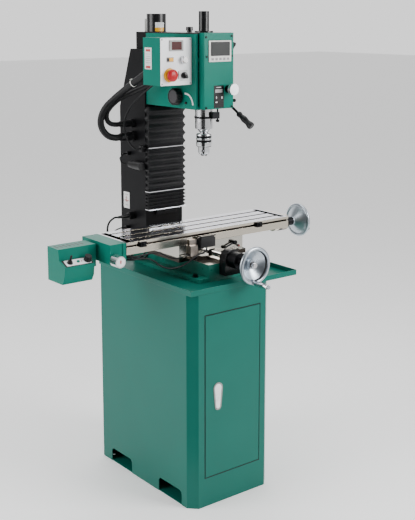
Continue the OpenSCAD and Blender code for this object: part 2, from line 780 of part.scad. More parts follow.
// ---------- quill feed ----------
// Places its children on each of the hub's three levers, with Y along the rod
module each_lever()
  for (a = [220, 100, 340]) translate([head_x1 + 16, pin_y, pin_z])
    rotate([a, 0, 0]) rotate([0, 0, -14]) children();

module feed_hub() color(dark) {
  difference() {
    union() {
      along_x([mx - 20, pin_y, pin_z], head_x1 - mx + 40, 10);
      along_x([mx - 12, pin_y, pin_z], 24, pinion_r - 0.3);
      along_x([fine_x - 5, pin_y, pin_z], 7, pinion_r);
      along_x([head_x1 + 4.6, pin_y, pin_z], 26, 26, 22);
    }
    each_lever() along_y([0, 17.8, 0], 30, 4.5 + fit);
  }
}

module feed_levers() color(dark) {
  each_lever() {
      along_y([0, 18, 0], 120, 4.5);
      along_y([0, 112, 0], 6, 7, 10);
      along_y([0, 118, 0], 50, 9, 12.5);
      translate([0, 168, 0]) sphere(r = 12.5);
    }
}

module fine_feed_knob() color(steel) {
  z = pin_z + 20;
  along_y([fine_x, -162, z], 185, 5);
  along_y([fine_x, -10, z], 12, 5.9);
  along_y([fine_x, -150, z], 22, 13);
  along_y([fine_x, -163, z], 13.5, 18.5);
}

module quill_lock_lever() color(dark) {
  along_x([head_x1 - 8, -82, 1325], 20, 4);
  along_x([head_x1 + 0.6, -82, 1325], 13, 8);
  translate([head_x1 + 8, -82, 1325]) rotate([98, 0, 0]) {
    cylinder(h = 26, r = 3);
    translate([0, 0, 26]) sphere(r = 6);
  }
}

module range_knob() color(dark) {
  along_x([head_x0 - 10, -2, 1336], 20, 6);
  along_x([head_x0 - 26, -2, 1336], 25.4, 28.5);
}

module spindle_motor() color(grey) {
  along_z([mx, 84, head_z0 + 10], 160, 48);
  along_z([mx, 84, 1467], 8, 20);
}
module motor_pulley() color(iron) {
  along_z([mx, 84, 1475.6], 44, 8);
  along_z([mx, 84, 1486], 3, 28);
  along_z([mx, 84, 1489], 20, 22);
  along_z([mx, 84, 1509], 3, 28);
}
module spindle_pulley() color(iron) {
  difference() {
    union() {
      along_z([mx, spindle_y, 1455], 32, 22);
      along_z([mx, spindle_y, 1486], 3, 42);
      along_z([mx, spindle_y, 1489], 20, 36);
      along_z([mx, spindle_y, 1509], 3, 42);
    }
    along_z([mx, spindle_y, 1450], 70, 12 + fit);
  }
}
// Belt loop round the two pulleys
module drive_belt() color(dark) {
  translate([0, 0, 1491]) linear_extrude(16) difference() {
    polygon(belt_outline(3.5));
    polygon(belt_outline(0.9));
  }
}
function belt_outline(g) = let (lean = asin(14 / (84 - spindle_y)))
  concat(arc(mx, 84, 22 + g, lean, 180 - lean),
         arc(mx, spindle_y, 36 + g, 180 - lean, 360 + lean));

module depth_display() color([0.9, 0.9, 0.88]) {
  box([mx - 44, cover_y - 4, 1454], [mx + 49, cover_y, 1523]);
}

// ---------- control box ----------
module control_box() color(green) {
  difference() {
    union() {
      difference() {
        box([box_x0, box_y0, box_z0], [box_x1, box_y1, box_z1]);
        box([box_x0 + 2, box_y0 + 2, box_z0 + 2], [box_x1 - 2, box_y1 - 2, box_z1 - 2]);
      }
      // spacers to the head
      for (z = [box_z0 + 30, box_z1 - 30]) along_x([box_x1 - 1, -20, z], head_x0 - box_x1 + 1, 9);
      // collar of the stop button and plate of the switch
      along_y([-110, box_y0 - 6, 1413], 7, 19);
    }
    along_y([-110, box_y0 - 7, 1413], 12, 8 + fit);
    along_y([-56, box_y0 - 7, 1462], 12, 4 + fit);
    along_y([-54, box_y0 - 7, 1411], 12, 4 + fit);
    box([-120, box_y0 - 7, 1457], [-96, box_y0 + 6, 1469]);
  }
}

module stop_button() color([0.75, 0.05, 0.07]) {
  along_y([-110, box_y0 - 14, 1413], 24, 8);
  along_y([-110, box_y0 - 26, 1413], 13, 20);
}
module power_button() color([0.85, 0.7, 0.1]) {
  box([-119.7, box_y0 - 4, 1457.3], [-96.3, box_y0 + 6, 1468.7]);
}
module speed_knob() color(steel) {
  along_y([-56, box_y0 - 5, 1462], 12, 4);
  along_y([-56, box_y0 - 17, 1462], 16.4, 12.5);
}
module direction_switch() color(dark) {
  along_y([-54, box_y0 - 5, 1411], 12, 4);
  along_y([-54, box_y0 - 10, 1411], 9.4, 11);
  box([-58, box_y0 - 19, 1401], [-50, box_y0 - 9, 1421]);
}

// ---------- conduits and cables ----------
module head_cables() color(dark) {
  tube(conduit_a, 24);
  tube(conduit_b, 18);
  tube(lift_lead, 6, 8);
}
module feed_cables() color(dark) {
  tube(power_lead, 7, 8);
  tube(signal_lead, 5, 8);
}
module limit_cables() color(dark) {
  tube(switch_lead, 6, 8);
  tube(feed_lead, 5, 8);
}

cabinet_shell();
cabinet_door();
door_hinge_pins();
door_pull_case();
door_pull_paddle();
chip_tray();
machine_base();
base_bolts();
y_bearing_bracket();
y_leadscrew();
y_dial();
y_handwheel();
y_crank_handle();
saddle();
saddle_lock_lever();
limit_switch();
table();
table_end_bracket();
x_leadscrew();
x_dial();
x_handwheel();
x_crank_handle();
table_stops();
feed_gearbox();
feed_housing();
feed_lever();
feed_speed_knob();
clutch_knob();
column();
lift_housing();
lift_motor();
z_leadscrew();
bellows();
column_fittings();
head_casting();
front_cover();
top_cover();
drawbar_cap();
quill();
spindle();
drill_chuck();
depth_rod();
feed_hub();
feed_levers();
fine_feed_knob();
quill_lock_lever();
range_knob();
spindle_motor();
motor_pulley();
spindle_pulley();
drive_belt();
depth_display();
control_box();
stop_button();
power_button();
speed_knob();
direction_switch();
head_cables();
feed_cables();
limit_cables();
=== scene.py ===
# Looks of the bench mill-drill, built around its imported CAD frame.
# Shapes are given in millimetres in the CAD frame and turned into metres as each mesh is made.
import math

import bmesh
import bpy
from mathutils import Matrix, Vector


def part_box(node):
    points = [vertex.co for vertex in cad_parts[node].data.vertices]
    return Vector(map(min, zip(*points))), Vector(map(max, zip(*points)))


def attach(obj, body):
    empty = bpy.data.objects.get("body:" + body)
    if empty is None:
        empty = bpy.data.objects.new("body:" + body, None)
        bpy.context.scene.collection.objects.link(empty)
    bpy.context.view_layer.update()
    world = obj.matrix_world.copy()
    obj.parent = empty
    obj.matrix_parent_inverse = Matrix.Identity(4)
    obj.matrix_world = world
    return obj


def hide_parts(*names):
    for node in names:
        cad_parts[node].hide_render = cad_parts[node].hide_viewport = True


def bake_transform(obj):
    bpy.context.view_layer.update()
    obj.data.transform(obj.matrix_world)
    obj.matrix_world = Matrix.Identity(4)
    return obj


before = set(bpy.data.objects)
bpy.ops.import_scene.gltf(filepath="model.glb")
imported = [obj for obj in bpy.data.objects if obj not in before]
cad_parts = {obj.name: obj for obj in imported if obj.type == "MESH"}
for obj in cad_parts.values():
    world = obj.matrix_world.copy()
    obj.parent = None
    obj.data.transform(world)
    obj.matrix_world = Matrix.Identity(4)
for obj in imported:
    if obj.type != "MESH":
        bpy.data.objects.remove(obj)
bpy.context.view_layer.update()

MM = 0.001
UP = Matrix.Identity(3)
# Each facing maps local x, y and z to the columns given here: z points out of the face.
FRONT = Matrix(((1, 0, 0), (0, 0, -1), (0, 1, 0)))
RIGHT = Matrix(((0, 0, 1), (1, 0, 0), (0, 1, 0)))
LEFT = Matrix(((0, 0, -1), (-1, 0, 0), (0, 1, 0)))


def box_mm(node):
    low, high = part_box(node)
    return low / MM, high / MM


def centre_mm(node):
    low, high = box_mm(node)
    return (low + high) / 2


# ---------- camera ----------
YAW = math.radians(37.988)
PITCH = math.radians(9.565)


def make_camera():
    """At the photograph's viewing angle, solved from the machine's straight edges."""
    data = bpy.data.cameras.new("camera")
    data.lens = 68.23
    data.sensor_width = 36
    data.shift_y = -0.15
    camera = bpy.data.objects.new("camera", data)
    bpy.context.scene.collection.objects.link(camera)
    camera.location = (-1.9794, -2.6693, 1.6021)
    camera.rotation_euler = (math.pi / 2 - PITCH, 0, -YAW)
    bpy.context.scene.camera = camera


make_camera()


# ---------- materials ----------
class Shader:
    """A node material with one Principled shader, and short calls for what feeds it."""

    def __init__(self, name):
        self.mat = bpy.data.materials.new(name)
        self.mat.use_nodes = True
        self.nodes = self.mat.node_tree.nodes
        self.links = self.mat.node_tree.links
        self.bsdf = self.nodes["Principled BSDF"]
        self.coords = self.nodes.new("ShaderNodeTexCoord").outputs["Object"]

    def set(self, **values):
        for name, value in values.items():
            self.bsdf.inputs[name.replace("_", " ")].default_value = value
        return self

    def stretched(self, stretch):
        node = self.nodes.new("ShaderNodeMapping")
        node.inputs["Scale"].default_value = stretch
        self.links.new(self.coords, node.inputs["Vector"])
        return node.outputs["Vector"]

    def noise(self, scale, detail=2.0, stretch=(1, 1, 1)):
        node = self.nodes.new("ShaderNodeTexNoise")
        node.inputs["Scale"].default_value = scale
        node.inputs["Detail"].default_value = detail
        self.links.new(self.stretched(stretch), node.inputs["Vector"])
        return node.outputs["Fac"]

    def spread(self, value, low, high, out_low, out_high):
        node = self.nodes.new("ShaderNodeMapRange")
        for name, number in zip(("From Min", "From Max", "To Min", "To Max"),
                                (low, high, out_low, out_high)):
            node.inputs[name].default_value = number
        self.links.new(value, node.inputs["Value"])
        return node.outputs["Result"]

    def mix(self, share, first, second):
        node = self.nodes.new("ShaderNodeMix")
        node.data_type = "RGBA"
        self.links.new(share, node.inputs["Factor"])
        for socket, value in ((node.inputs[6], first), (node.inputs[7], second)):
            if isinstance(value, bpy.types.NodeSocket):
                self.links.new(value, socket)
            else:
                socket.default_value = (*value, 1)
        return node.outputs[2]

    def math(self, operation, first, second):
        node = self.nodes.new("ShaderNodeMath")
        node.operation = operation
        for socket, value in zip(node.inputs, (first, second)):
            if isinstance(value, bpy.types.NodeSocket):
                self.links.new(value, socket)
            else:
                socket.default_value = value
        return node.outputs[0]

    def axis(self, which, source="position"):
        split = self.nodes.new("ShaderNodeSeparateXYZ")
        if source == "normal":
            self.links.new(self.nodes.new("ShaderNodeNewGeometry").outputs["True Normal"],
                           split.inputs[0])
        else:
            self.links.new(self.coords, split.inputs[0])
        return split.outputs[which]

    def bump(self, height, slope, finest):
        """Relief whose steepest slope is about the one given, for a pattern of that scale."""
        node = self.nodes.new("ShaderNodeBump")
        node.inputs["Strength"].default_value = 1.0
        node.inputs["Distance"].default_value = slope / finest
        self.links.new(height, node.inputs["Height"])
        self.links.new(node.outputs["Normal"], self.bsdf.inputs["Normal"])
        return self

    def feed(self, name, value):
        self.links.new(value, self.bsdf.inputs[name])


def tinted(color, factor):
    """The colour made lighter or darker."""
    return tuple(min(1.0, c * factor) for c in color)


def paint(name, color, rough=0.3, coat=0.5, peel=0.02, vary=0.05, gloss=0.5):
    """Sprayed enamel: slight colour drift, orange peel, faint smudges in the gloss."""
    s = Shader(name)
    drift = s.spread(s.noise(7, 3), 0.3, 0.7, 0, 1)
    s.feed("Base Color", s.mix(drift, tinted(color, 1 - vary), tinted(color, 1 + vary)))
    s.feed("Roughness", s.spread(s.noise(14, 2), 0.3, 0.7, rough - 0.02, rough + 0.04))
    s.set(Coat_Weight=coat, Coat_Roughness=0.12, Specular_IOR_Level=gloss)
    return s.bump(s.noise(260, 2), peel, 260).mat


def metal(name, color, rough=0.25, grain=(1, 1, 1), scratch=0.03, scale=400, vary=0.12):
    """Machined or ground metal: tool marks drawn out along one direction."""
    s = Shader(name)
    marks = s.noise(scale, 3, grain)
    s.feed("Base Color", s.mix(s.spread(marks, 0.3, 0.7, 0, 1), tinted(color, 1 - vary), color))
    s.feed("Roughness", s.spread(s.noise(25, 4), 0.3, 0.75, rough - 0.06, rough + 0.12))
    s.set(Metallic=1.0)
    return s.bump(marks, scratch, scale * max(grain)).mat


def moulded(name, color, rough=0.45, texture=0.03, scale=900, coat=0.0, gloss=0.5):
    """Moulded plastic or rubber: fine spark-eroded texture and uneven sheen."""
    s = Shader(name)
    s.feed("Base Color", s.mix(s.spread(s.noise(30, 3), 0.3, 0.7, 0, 1), tinted(color, 0.85),
                               tinted(color, 1.1)))
    s.feed("Roughness", s.spread(s.noise(60, 3), 0.3, 0.75, rough - 0.06, rough + 0.1))
    s.set(Coat_Weight=coat, Specular_IOR_Level=gloss)
    return s.bump(s.noise(scale, 2), texture, scale).mat


GREEN = (0.0, 0.150, 0.108)
green_paint = paint("green_paint", GREEN, 0.30, 0.0, 0.01, gloss=0.14)
# A darker copy of the green paint for the cabinet, its door and the chip tray: painted shade,
# since these lower parts get less light than the head.
shaded_green_paint = paint("shaded_green_paint", (0.0, 0.122, 0.092), 0.30, 0.0, 0.003, 0.03, gloss=0.22)
column_paint = paint("column_paint", (0.006, 0.006, 0.007), 0.36, 0.0, 0.03, gloss=0.11)
black_paint = paint("black_paint", (0.006, 0.006, 0.007), 0.26, 0.15, 0.01, gloss=0.35)
white_paint = paint("white_paint", (0.88, 0.89, 0.91), 0.38, 0.2, 0.01, 0.02)
ground_steel = metal("ground_steel", (0.70, 0.70, 0.72), 0.11, (1, 1, 30), 0.01)
turned_steel = metal("turned_steel", (0.70, 0.70, 0.72), 0.18, (1, 1, 30))
polished = metal("polished", (0.74, 0.75, 0.77), 0.1, (1, 1, 20), 0.01, vary=0.04)
cast_aluminium = metal("cast_aluminium", (0.46, 0.51, 0.56), 0.30, (1, 1, 1), 0.015, 260, 0.08)
black_oxide = metal("black_oxide", (0.022, 0.022, 0.024), 0.36)
dark_steel = metal("dark_steel", (0.13, 0.125, 0.125), 0.38)
black_plastic = moulded("black_plastic", (0.006, 0.006, 0.007), 0.4, gloss=0.35)
black_rubber = moulded("black_rubber", (0.006, 0.006, 0.007), 0.5, 0.05, 700, gloss=0.3)
red_plastic = moulded("red_plastic", (0.42, 0.002, 0.010), 0.35, 0.01, coat=0.1, gloss=0.3)
yellow_plastic = moulded("yellow_plastic", (0.80, 0.38, 0.002), 0.35, 0.01, coat=0.1)
white_plastic = moulded("white_plastic", (0.88, 0.88, 0.88), 0.3, 0.01, coat=0.3)
cream_plastic = moulded("cream_plastic", (0.72, 0.71, 0.67), 0.42, 0.01)
grey_plastic = moulded("grey_plastic", (0.30, 0.30, 0.29), 0.45, 0.02)
dark_plastic = moulded("dark_plastic", (0.035, 0.032, 0.036), 0.42, 0.02)
red_window = moulded("red_window", (0.050, 0.001, 0.001), 0.4, 0.005, gloss=0.2)
lcd = moulded("lcd", (0.017, 0.019, 0.0185), 0.4, 0.005, gloss=0.25)
label_white = moulded("label_white", (0.74, 0.74, 0.74), 0.5, 0.005)
label_red = moulded("label_red", (0.42, 0.04, 0.04), 0.5, 0.005)
label_grey = moulded("label_grey", (0.34, 0.34, 0.34), 0.5, 0.005)


def worked_iron(name, node, side, grain, margin, shade_below=0.0):
    """Ground top bright, milled sides warmer, and painted shade, a near-black brown, in the slots
    and below a height.

    What lies below the land and further in than the skin counts as inside a slot and is painted in
    shade. The margin is the skin's thickness at the front."""
    skin, back_skin, land = 0.4, 1.0, 1.2
    s = Shader(name)
    low, high = box_mm(node)
    marks = s.spread(s.noise(300, 3, grain), 0.3, 0.7, 0, 1)
    up = s.spread(s.axis(2, "normal"), 0.5, 0.9, 0, 1)
    bright = s.mix(marks, (0.68, 0.68, 0.73), (0.78, 0.78, 0.83))
    warm = s.mix(marks, tinted(side, 0.85), side)
    inside = s.math("LESS_THAN", s.axis(2), (high.z - land) * MM)
    for which, first, last in ((0, low.x + skin, high.x - skin),
                               (1, low.y + margin, high.y - back_skin),
                               (2, low.z + skin, high.z)):
        inside = s.math("MULTIPLY", inside, s.math("GREATER_THAN", s.axis(which), first * MM))
        inside = s.math("MULTIPLY", inside, s.math("LESS_THAN", s.axis(which), last * MM))
    # Painted shade: the slots, and everything below the given height, take a near-black brown in
    # place of the iron's colour.
    low_part = s.math("LESS_THAN", s.axis(2), shade_below * MM)
    painted_shade = s.math("MAXIMUM", inside, low_part) if shade_below else inside
    s.feed("Base Color", s.mix(painted_shade, s.mix(up, warm, bright), (0.045, 0.038, 0.032)))
    s.feed("Roughness", s.spread(s.noise(12, 2), 0.3, 0.75, 0.13, 0.18))
    return s.set(Metallic=1.0).mat


def switch_plastic():
    """Black switch body on a plated steel bracket at its left."""
    bracket_width = 29
    s = Shader("switch_plastic")
    bracket_end = box_mm("limit_switch")[0].x + bracket_width
    bracket = s.math("LESS_THAN", s.axis(0), bracket_end * MM)
    worn = s.spread(s.noise(60, 3), 0.3, 0.7, 0, 1)
    plastic = s.mix(worn, (0.008, 0.008, 0.009), (0.013, 0.013, 0.014))
    steel = s.mix(worn, (0.42, 0.36, 0.32), (0.60, 0.53, 0.48))
    s.feed("Base Color", s.mix(bracket, plastic, steel))
    s.feed("Metallic", bracket)
    s.feed("Roughness", s.spread(s.noise(90, 3), 0.3, 0.75, 0.34, 0.46))
    return s.bump(s.noise(700, 2), 0.02, 700).mat


def fine_feed_finish():
    """Satin knob on a blackened sleeve."""
    knob_thickness = 13.6
    s = Shader("fine_feed_finish")
    sleeve_start = box_mm("fine_feed_knob")[0].y + knob_thickness
    sleeve = s.math("GREATER_THAN", s.axis(1), sleeve_start * MM)
    worn = s.spread(s.noise(60, 3), 0.3, 0.7, 0, 1)
    knob = s.mix(worn, (0.70, 0.71, 0.73), (0.76, 0.77, 0.79))
    s.feed("Base Color", s.mix(sleeve, knob, (0.012, 0.012, 0.013)))
    s.feed("Roughness", s.spread(s.noise(60, 2), 0.3, 0.75, 0.34, 0.42))
    return s.set(Metallic=1.0).mat


def base_casting():
    """Green casting whose slideways on top are scraped bare iron."""
    way_depth = 13.6
    s = Shader("base_casting")
    way_start = box_mm("machine_base")[1].z - way_depth
    way = s.math("GREATER_THAN", s.axis(2), way_start * MM)
    drift = s.spread(s.noise(9, 3), 0.3, 0.7, 0, 1)
    coat = s.mix(drift, tinted(GREEN, 0.9), tinted(GREEN, 1.06))
    iron = s.mix(s.spread(s.noise(220, 3, (8, 1, 1)), 0.3, 0.7, 0, 1), (0.45, 0.42, 0.38),
                 (0.72, 0.69, 0.63))
    s.feed("Base Color", s.mix(way, coat, iron))
    s.feed("Metallic", way)
    s.feed("Roughness", s.spread(s.noise(40, 4), 0.3, 0.75, 0.26, 0.4))
    return s.bump(s.noise(160, 3), 0.04, 160).mat


def cloth():
    """Coated folding cover: fine weave under a satin film."""
    s = Shader("bellows_cloth")
    drift = s.spread(s.noise(20, 3), 0.3, 0.7, 0, 1)
    s.feed("Base Color", s.mix(drift, (0.005, 0.005, 0.006), (0.009, 0.009, 0.010)))
    s.feed("Roughness", s.spread(s.noise(80, 3), 0.3, 0.75, 0.42, 0.58))
    s.set(Specular_IOR_Level=0.3)
    threads = 260
    wave = s.nodes.new("ShaderNodeTexWave")
    wave.inputs["Scale"].default_value = threads
    s.links.new(s.coords, wave.inputs["Vector"])
    return s.bump(wave.outputs["Fac"], 0.04, threads).mat


SADDLE_MARGIN = 60.0
# Below this height the saddle's iron is painted near-black brown as shade.
SADDLE_SHADE_HEIGHT = box_mm("saddle")[0].z + 19.5
table_iron = worked_iron("table_iron", "table", (0.70, 0.64, 0.54), (1, 5, 5), 1.2)
bracket_iron = metal("bracket_iron", (0.66, 0.61, 0.53), 0.24, (1, 10, 10), 0.01, 300)
saddle_iron = worked_iron("saddle_iron", "saddle", (0.62, 0.60, 0.54), (1, 5, 5),
                          SADDLE_MARGIN, SADDLE_SHADE_HEIGHT)
switch_body = switch_plastic()
base_paint = base_casting()
knob_finish = fine_feed_finish()
bellows_cloth = cloth()


# ---------- mesh tools ----------
def spin_points(profile, segments, flutes=0, depth=0.0):
    """Rings of a turned profile of (radius, height) pairs, with optional finger flutes."""
    rings = []
    for radius, height in profile:
        if radius < 1e-6:
            rings.append([(0.0, 0.0, height)])
            continue
        ring = []
        for k in range(segments):
            angle = 2 * math.pi * k / segments
            cut = depth * max(0.0, math.cos(flutes * angle)) if flutes else 0.0
            r = radius - cut
            ring.append((r * math.cos(angle), r * math.sin(angle), height))
        rings.append(ring)
    return rings


def arc(radius, degrees, x=0.0, y=0.0):
    """Points on a circle about x and y, at the given angles."""
    angles = map(math.radians, degrees)
    return [(x + radius * math.cos(a), y + radius * math.sin(a)) for a in angles]


def rounded_box_outline(width, height, radius, steps=5):
    """Rectangle about the origin with arcs at its corners."""
    points = []
    for corner, (sx, sy) in enumerate(((1, 1), (-1, 1), (-1, -1), (1, -1))):
        turns = [90 * (corner + k / steps) for k in range(steps + 1)]
        points += arc(radius, turns, sx * (width / 2 - radius), sy * (height / 2 - radius))
    return points


def smooth_route(points, step=2.0):
    """Points about a step apart on a smooth curve through the given ones."""
    points = [Vector(p) for p in points]
    padded = [2 * points[0] - points[1], *points, 2 * points[-1] - points[-2]]
    made = []
    for i in range(1, len(padded) - 2):
        a, b, c, d = padded[i - 1:i + 3]
        count = max(2, round((c - b).length / step))
        for k in range(count):
            t = k / count
            made.append(0.5 * (2 * b + (c - a) * t + (2 * a - 5 * b + 4 * c - d) * t * t
                               + (3 * b - a - 3 * c + d) * t * t * t))
    made.append(points[-1])
    return made


SHARP = math.radians(38)


class Solid:
    """Collects closed shapes in millimetres and makes one object of them."""

    def __init__(self, *materials):
        self.bm = bmesh.new()
        self.materials = materials
        self.index = 0
        self.place((0, 0, 0))

    def place(self, origin, facing=UP, turn=0.0):
        """What is added next has this origin and facing, turned about its own z."""
        spin = Matrix.Rotation(math.radians(turn), 3, "Z")
        self.matrix = Matrix.Translation(Vector(origin)) @ (facing @ spin).to_4x4()
        return self

    def shift(self, x, y, z, facing=UP):
        """What is added next moves on, and turns to the facing, within the present place."""
        self.matrix = self.matrix @ Matrix.Translation((x, y, z)) @ facing.to_4x4()
        return self

    def use(self, index):
        """What is added next has this one of the materials."""
        self.index = index
        return self

    def vertex(self, point):
        return self.bm.verts.new(self.matrix @ Vector(point))

    def face(self, corners):
        made = self.bm.faces.new(corners)
        made.material_index = self.index
        made.smooth = True

    def walls(self, rings, closed=True):
        """Joins rings of points one to the next; a ring of one point is a pole."""
        rows = [[self.vertex(p) for p in ring] for ring in rings]
        for low, high in zip(rows, rows[1:]):
            count = max(len(low), len(high))
            for k in range(count if closed else count - 1):
                k2 = (k + 1) % count
                if len(low) == 1:
                    self.face((low[0], high[k2], high[k]))
                elif len(high) == 1:
                    self.face((low[k], low[k2], high[0]))
                else:
                    self.face((low[k], low[k2], high[k2], high[k]))
        return rows

    def lathe(self, profile, segments=48, flutes=0, depth=0.0, ring=False):
        """Turned shape; ring=True closes the profile on itself."""
        points = list(profile) + ([profile[0]] if ring else [])
        rings = spin_points(points, segments, flutes, depth)
        rows = self.walls(rings)
        if ring:
            bmesh.ops.remove_doubles(self.bm, verts=rows[0] + rows[-1], dist=1e-5)
            return
        if len(rows[0]) > 1:
            self.face(list(reversed(rows[0])))
        if len(rows[-1]) > 1:
            self.face(rows[-1])

    def prism(self, outline, low, high):
        """The outline drawn out along z."""
        rows = self.walls([[(x, y, z) for x, y in outline] for z in (low, high)])
        self.face(list(reversed(rows[0])))
        self.face(rows[1])

    def plate(self, x, y, width, height, low, high, radius=1.0):
        """A round-cornered plate centred on x and y."""
        outline = [(x + a, y + b) for a, b in rounded_box_outline(width, height, radius)]
        self.prism(outline, low, high)

    def block(self, low, high):
        """A square-edged block between two corners."""
        outline = [(low[0], low[1]), (high[0], low[1]), (high[0], high[1]), (low[0], high[1])]
        self.prism(outline, low[2], high[2])

    def tube(self, points, radius, sides=12):
        """Round tube; radius is a number or a function of the point's index."""
        side = Vector((0, 0, 1)).cross(points[1] - points[0])
        if side.length < 1e-6:
            side = Vector((1, 0, 0))
        turns = [2 * math.pi * k / sides for k in range(sides)]
        rings = []
        for i, point in enumerate(points):
            along = (points[min(i + 1, len(points) - 1)] - points[max(i - 1, 0)]).normalized()
            side = (side - side.dot(along) * along).normalized()
            up = along.cross(side)
            r = radius(i) if callable(radius) else radius
            rings.append([point + r * (math.cos(a) * side + math.sin(a) * up) for a in turns])
        rows = self.walls(rings)
        self.face(list(reversed(rows[0])))
        self.face(rows[-1])

    def make(self, name, body=None, slot=None, replaces=(), bevel=0.0):
        """Turns what was added into an object, in metres, hides the CAD nodes it replaces and
        hangs it on its body.
        """
        bmesh.ops.recalc_face_normals(self.bm, faces=self.bm.faces)
        bmesh.ops.scale(self.bm, vec=(MM, MM, MM), verts=self.bm.verts)
        mesh = bpy.data.meshes.new(name)
        self.bm.to_mesh(mesh)
        self.bm.free()
        made = bpy.data.objects.new(name, mesh)
        bpy.context.scene.collection.objects.link(made)
        for material in self.materials:
            mesh.materials.append(material)
        if bevel:
            round_edges(made, bevel)
        else:
            mesh.set_sharp_from_angle(angle=SHARP)
        if replaces:
            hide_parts(*replaces)
        if body:
            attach(made, body)
        return made


def round_edges(made, width):
    """Small real radii on every sharp edge, with flat faces kept flat in the shading."""
    bevel = made.modifiers.new("edges", "BEVEL")
    bevel.width = width * MM
    bevel.segments = 2
    bevel.limit_method = "ANGLE"
    bevel.angle_limit = SHARP
    bevel.use_clamp_overlap = True
    bevel.miter_outer = "MITER_ARC"
    normals = made.modifiers.new("normals", "WEIGHTED_NORMAL")
    normals.keep_sharp = False
    normals.weight = 60


def dress(node, material, width=0.0):
    """A CAD node keeps its shape and gets its material and its edge radii.

    Its stored normals go, because they would spoil the shading of the new edges."""
    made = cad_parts[node]
    mesh = made.data
    mesh.materials.clear()
    mesh.materials.append(material)
    for name in ("custom_normal", "sharp_face"):
        found = mesh.attributes.get(name)
        if found:
            mesh.attributes.remove(found)
    mesh.polygons.foreach_set("use_smooth", [True] * len(mesh.polygons))
    weld = made.modifiers.new("weld", "WELD")
    weld.merge_threshold = 2e-6
    round_edges(made, width)


# ---------- cords ----------
CONDUIT_A = [(-96, 21, 1425), (-96, 46, 1425), (-98, 90, 1405), (-107, 150, 1371),
             (-119, 192, 1343), (-134, 220, 1318), (-152, 240, 1292), (-162, 254, 1264),
             (-162, 264, 1234), (-152, 266, 1206), (-132, 261, 1185), (-108, 258, 1178),
             (-86, 258, 1178)]
CONDUIT_B = [(-58, 21, 1392), (-58, 46, 1392), (-65, 110, 1368), (-80, 180, 1342),
             (-104, 228, 1318), (-126, 250, 1292), (-139, 260, 1266), (-136, 263, 1241),
             (-122, 262, 1228), (-104, 262, 1224), (-84, 262, 1224)]
LIFT_LEAD = [(-74, 21, 1386), (-74, 40, 1386), (-79, 112, 1346), (-84, 170, 1308),
             (-87, 206, 1272), (-87, 228, 1236), (-84, 230, 1200), (-76, 214, 1160),
             (-62, 196, 1140), (-44, 196, 1140)]
POWER_LEAD = [(-95, 265, 888), (-112, 265, 888), (-131, 268, 874), (-137, 272, 850),
              (-131, 274, 824), (-114, 266, 796), (-96, 240, 768), (-82, 196, 754),
              (-68, 146, 757), (-54, 124, 784), (-50, 114, 800), (-50, 100, 800)]
SIGNAL_LEAD = [(-42, 300, 838), (-66, 300, 838), (-94, 298, 828), (-116, 288, 802),
               (-118, 262, 772), (-106, 200, 757), (-92, 146, 758), (-74, 122, 786),
               (-70, 114, 800), (-70, 100, 800)]
SWITCH_LEAD = [(20, -104, 832), (20, -104, 822), (6, -106, 814), (-14, -106, 811),
               (-38, -106, 801), (-60, -104, 789), (-88, -100, 779), (-126, -97, 778),
               (-160, -95, 790), (-184, -94, 808), (-206, -94, 821), (-236, -94, 828),
               (-264, -94, 829), (-278, -89, 829), (-287, -80, 829), (-292, -80, 829)]
FEED_LEAD = [(-292, -80, 838), (-287, -80, 838), (-278, -89, 838), (-264, -94, 839),
             (-176, -93, 839), (-154, -94, 830), (-130, -96, 817), (-100, -98, 809),
             (-64, -97, 812), (-45, -97, 812)]


def cord(name, route, diameter, replaces=(), ribs=0.0):
    """A cable between two housings: a round tube along a smooth route."""
    points = smooth_route(route)
    sides = 16 if diameter > 10 else 10
    made = Solid(black_rubber)
    made.tube(points, lambda i: diameter / 2 * (1 - ribs * (i % 2)), sides)
    piece = made.make(name, slot="black_rubber", replaces=replaces)
    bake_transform(piece)


cord("conduit_large", CONDUIT_A, 24, ("head_cables",), 0.05)
cord("conduit_small", CONDUIT_B, 18, ("head_cables",), 0.05)
cord("lift_sensor_lead", LIFT_LEAD, 6, ("head_cables",))
cord("feed_power_lead", POWER_LEAD, 7, ("feed_cables",))
cord("feed_signal_lead", SIGNAL_LEAD, 5, ("feed_cables",))
cord("limit_switch_lead", SWITCH_LEAD, 6, ("limit_cables",))
cord("feed_switch_lead", FEED_LEAD, 5, ("limit_cables",))
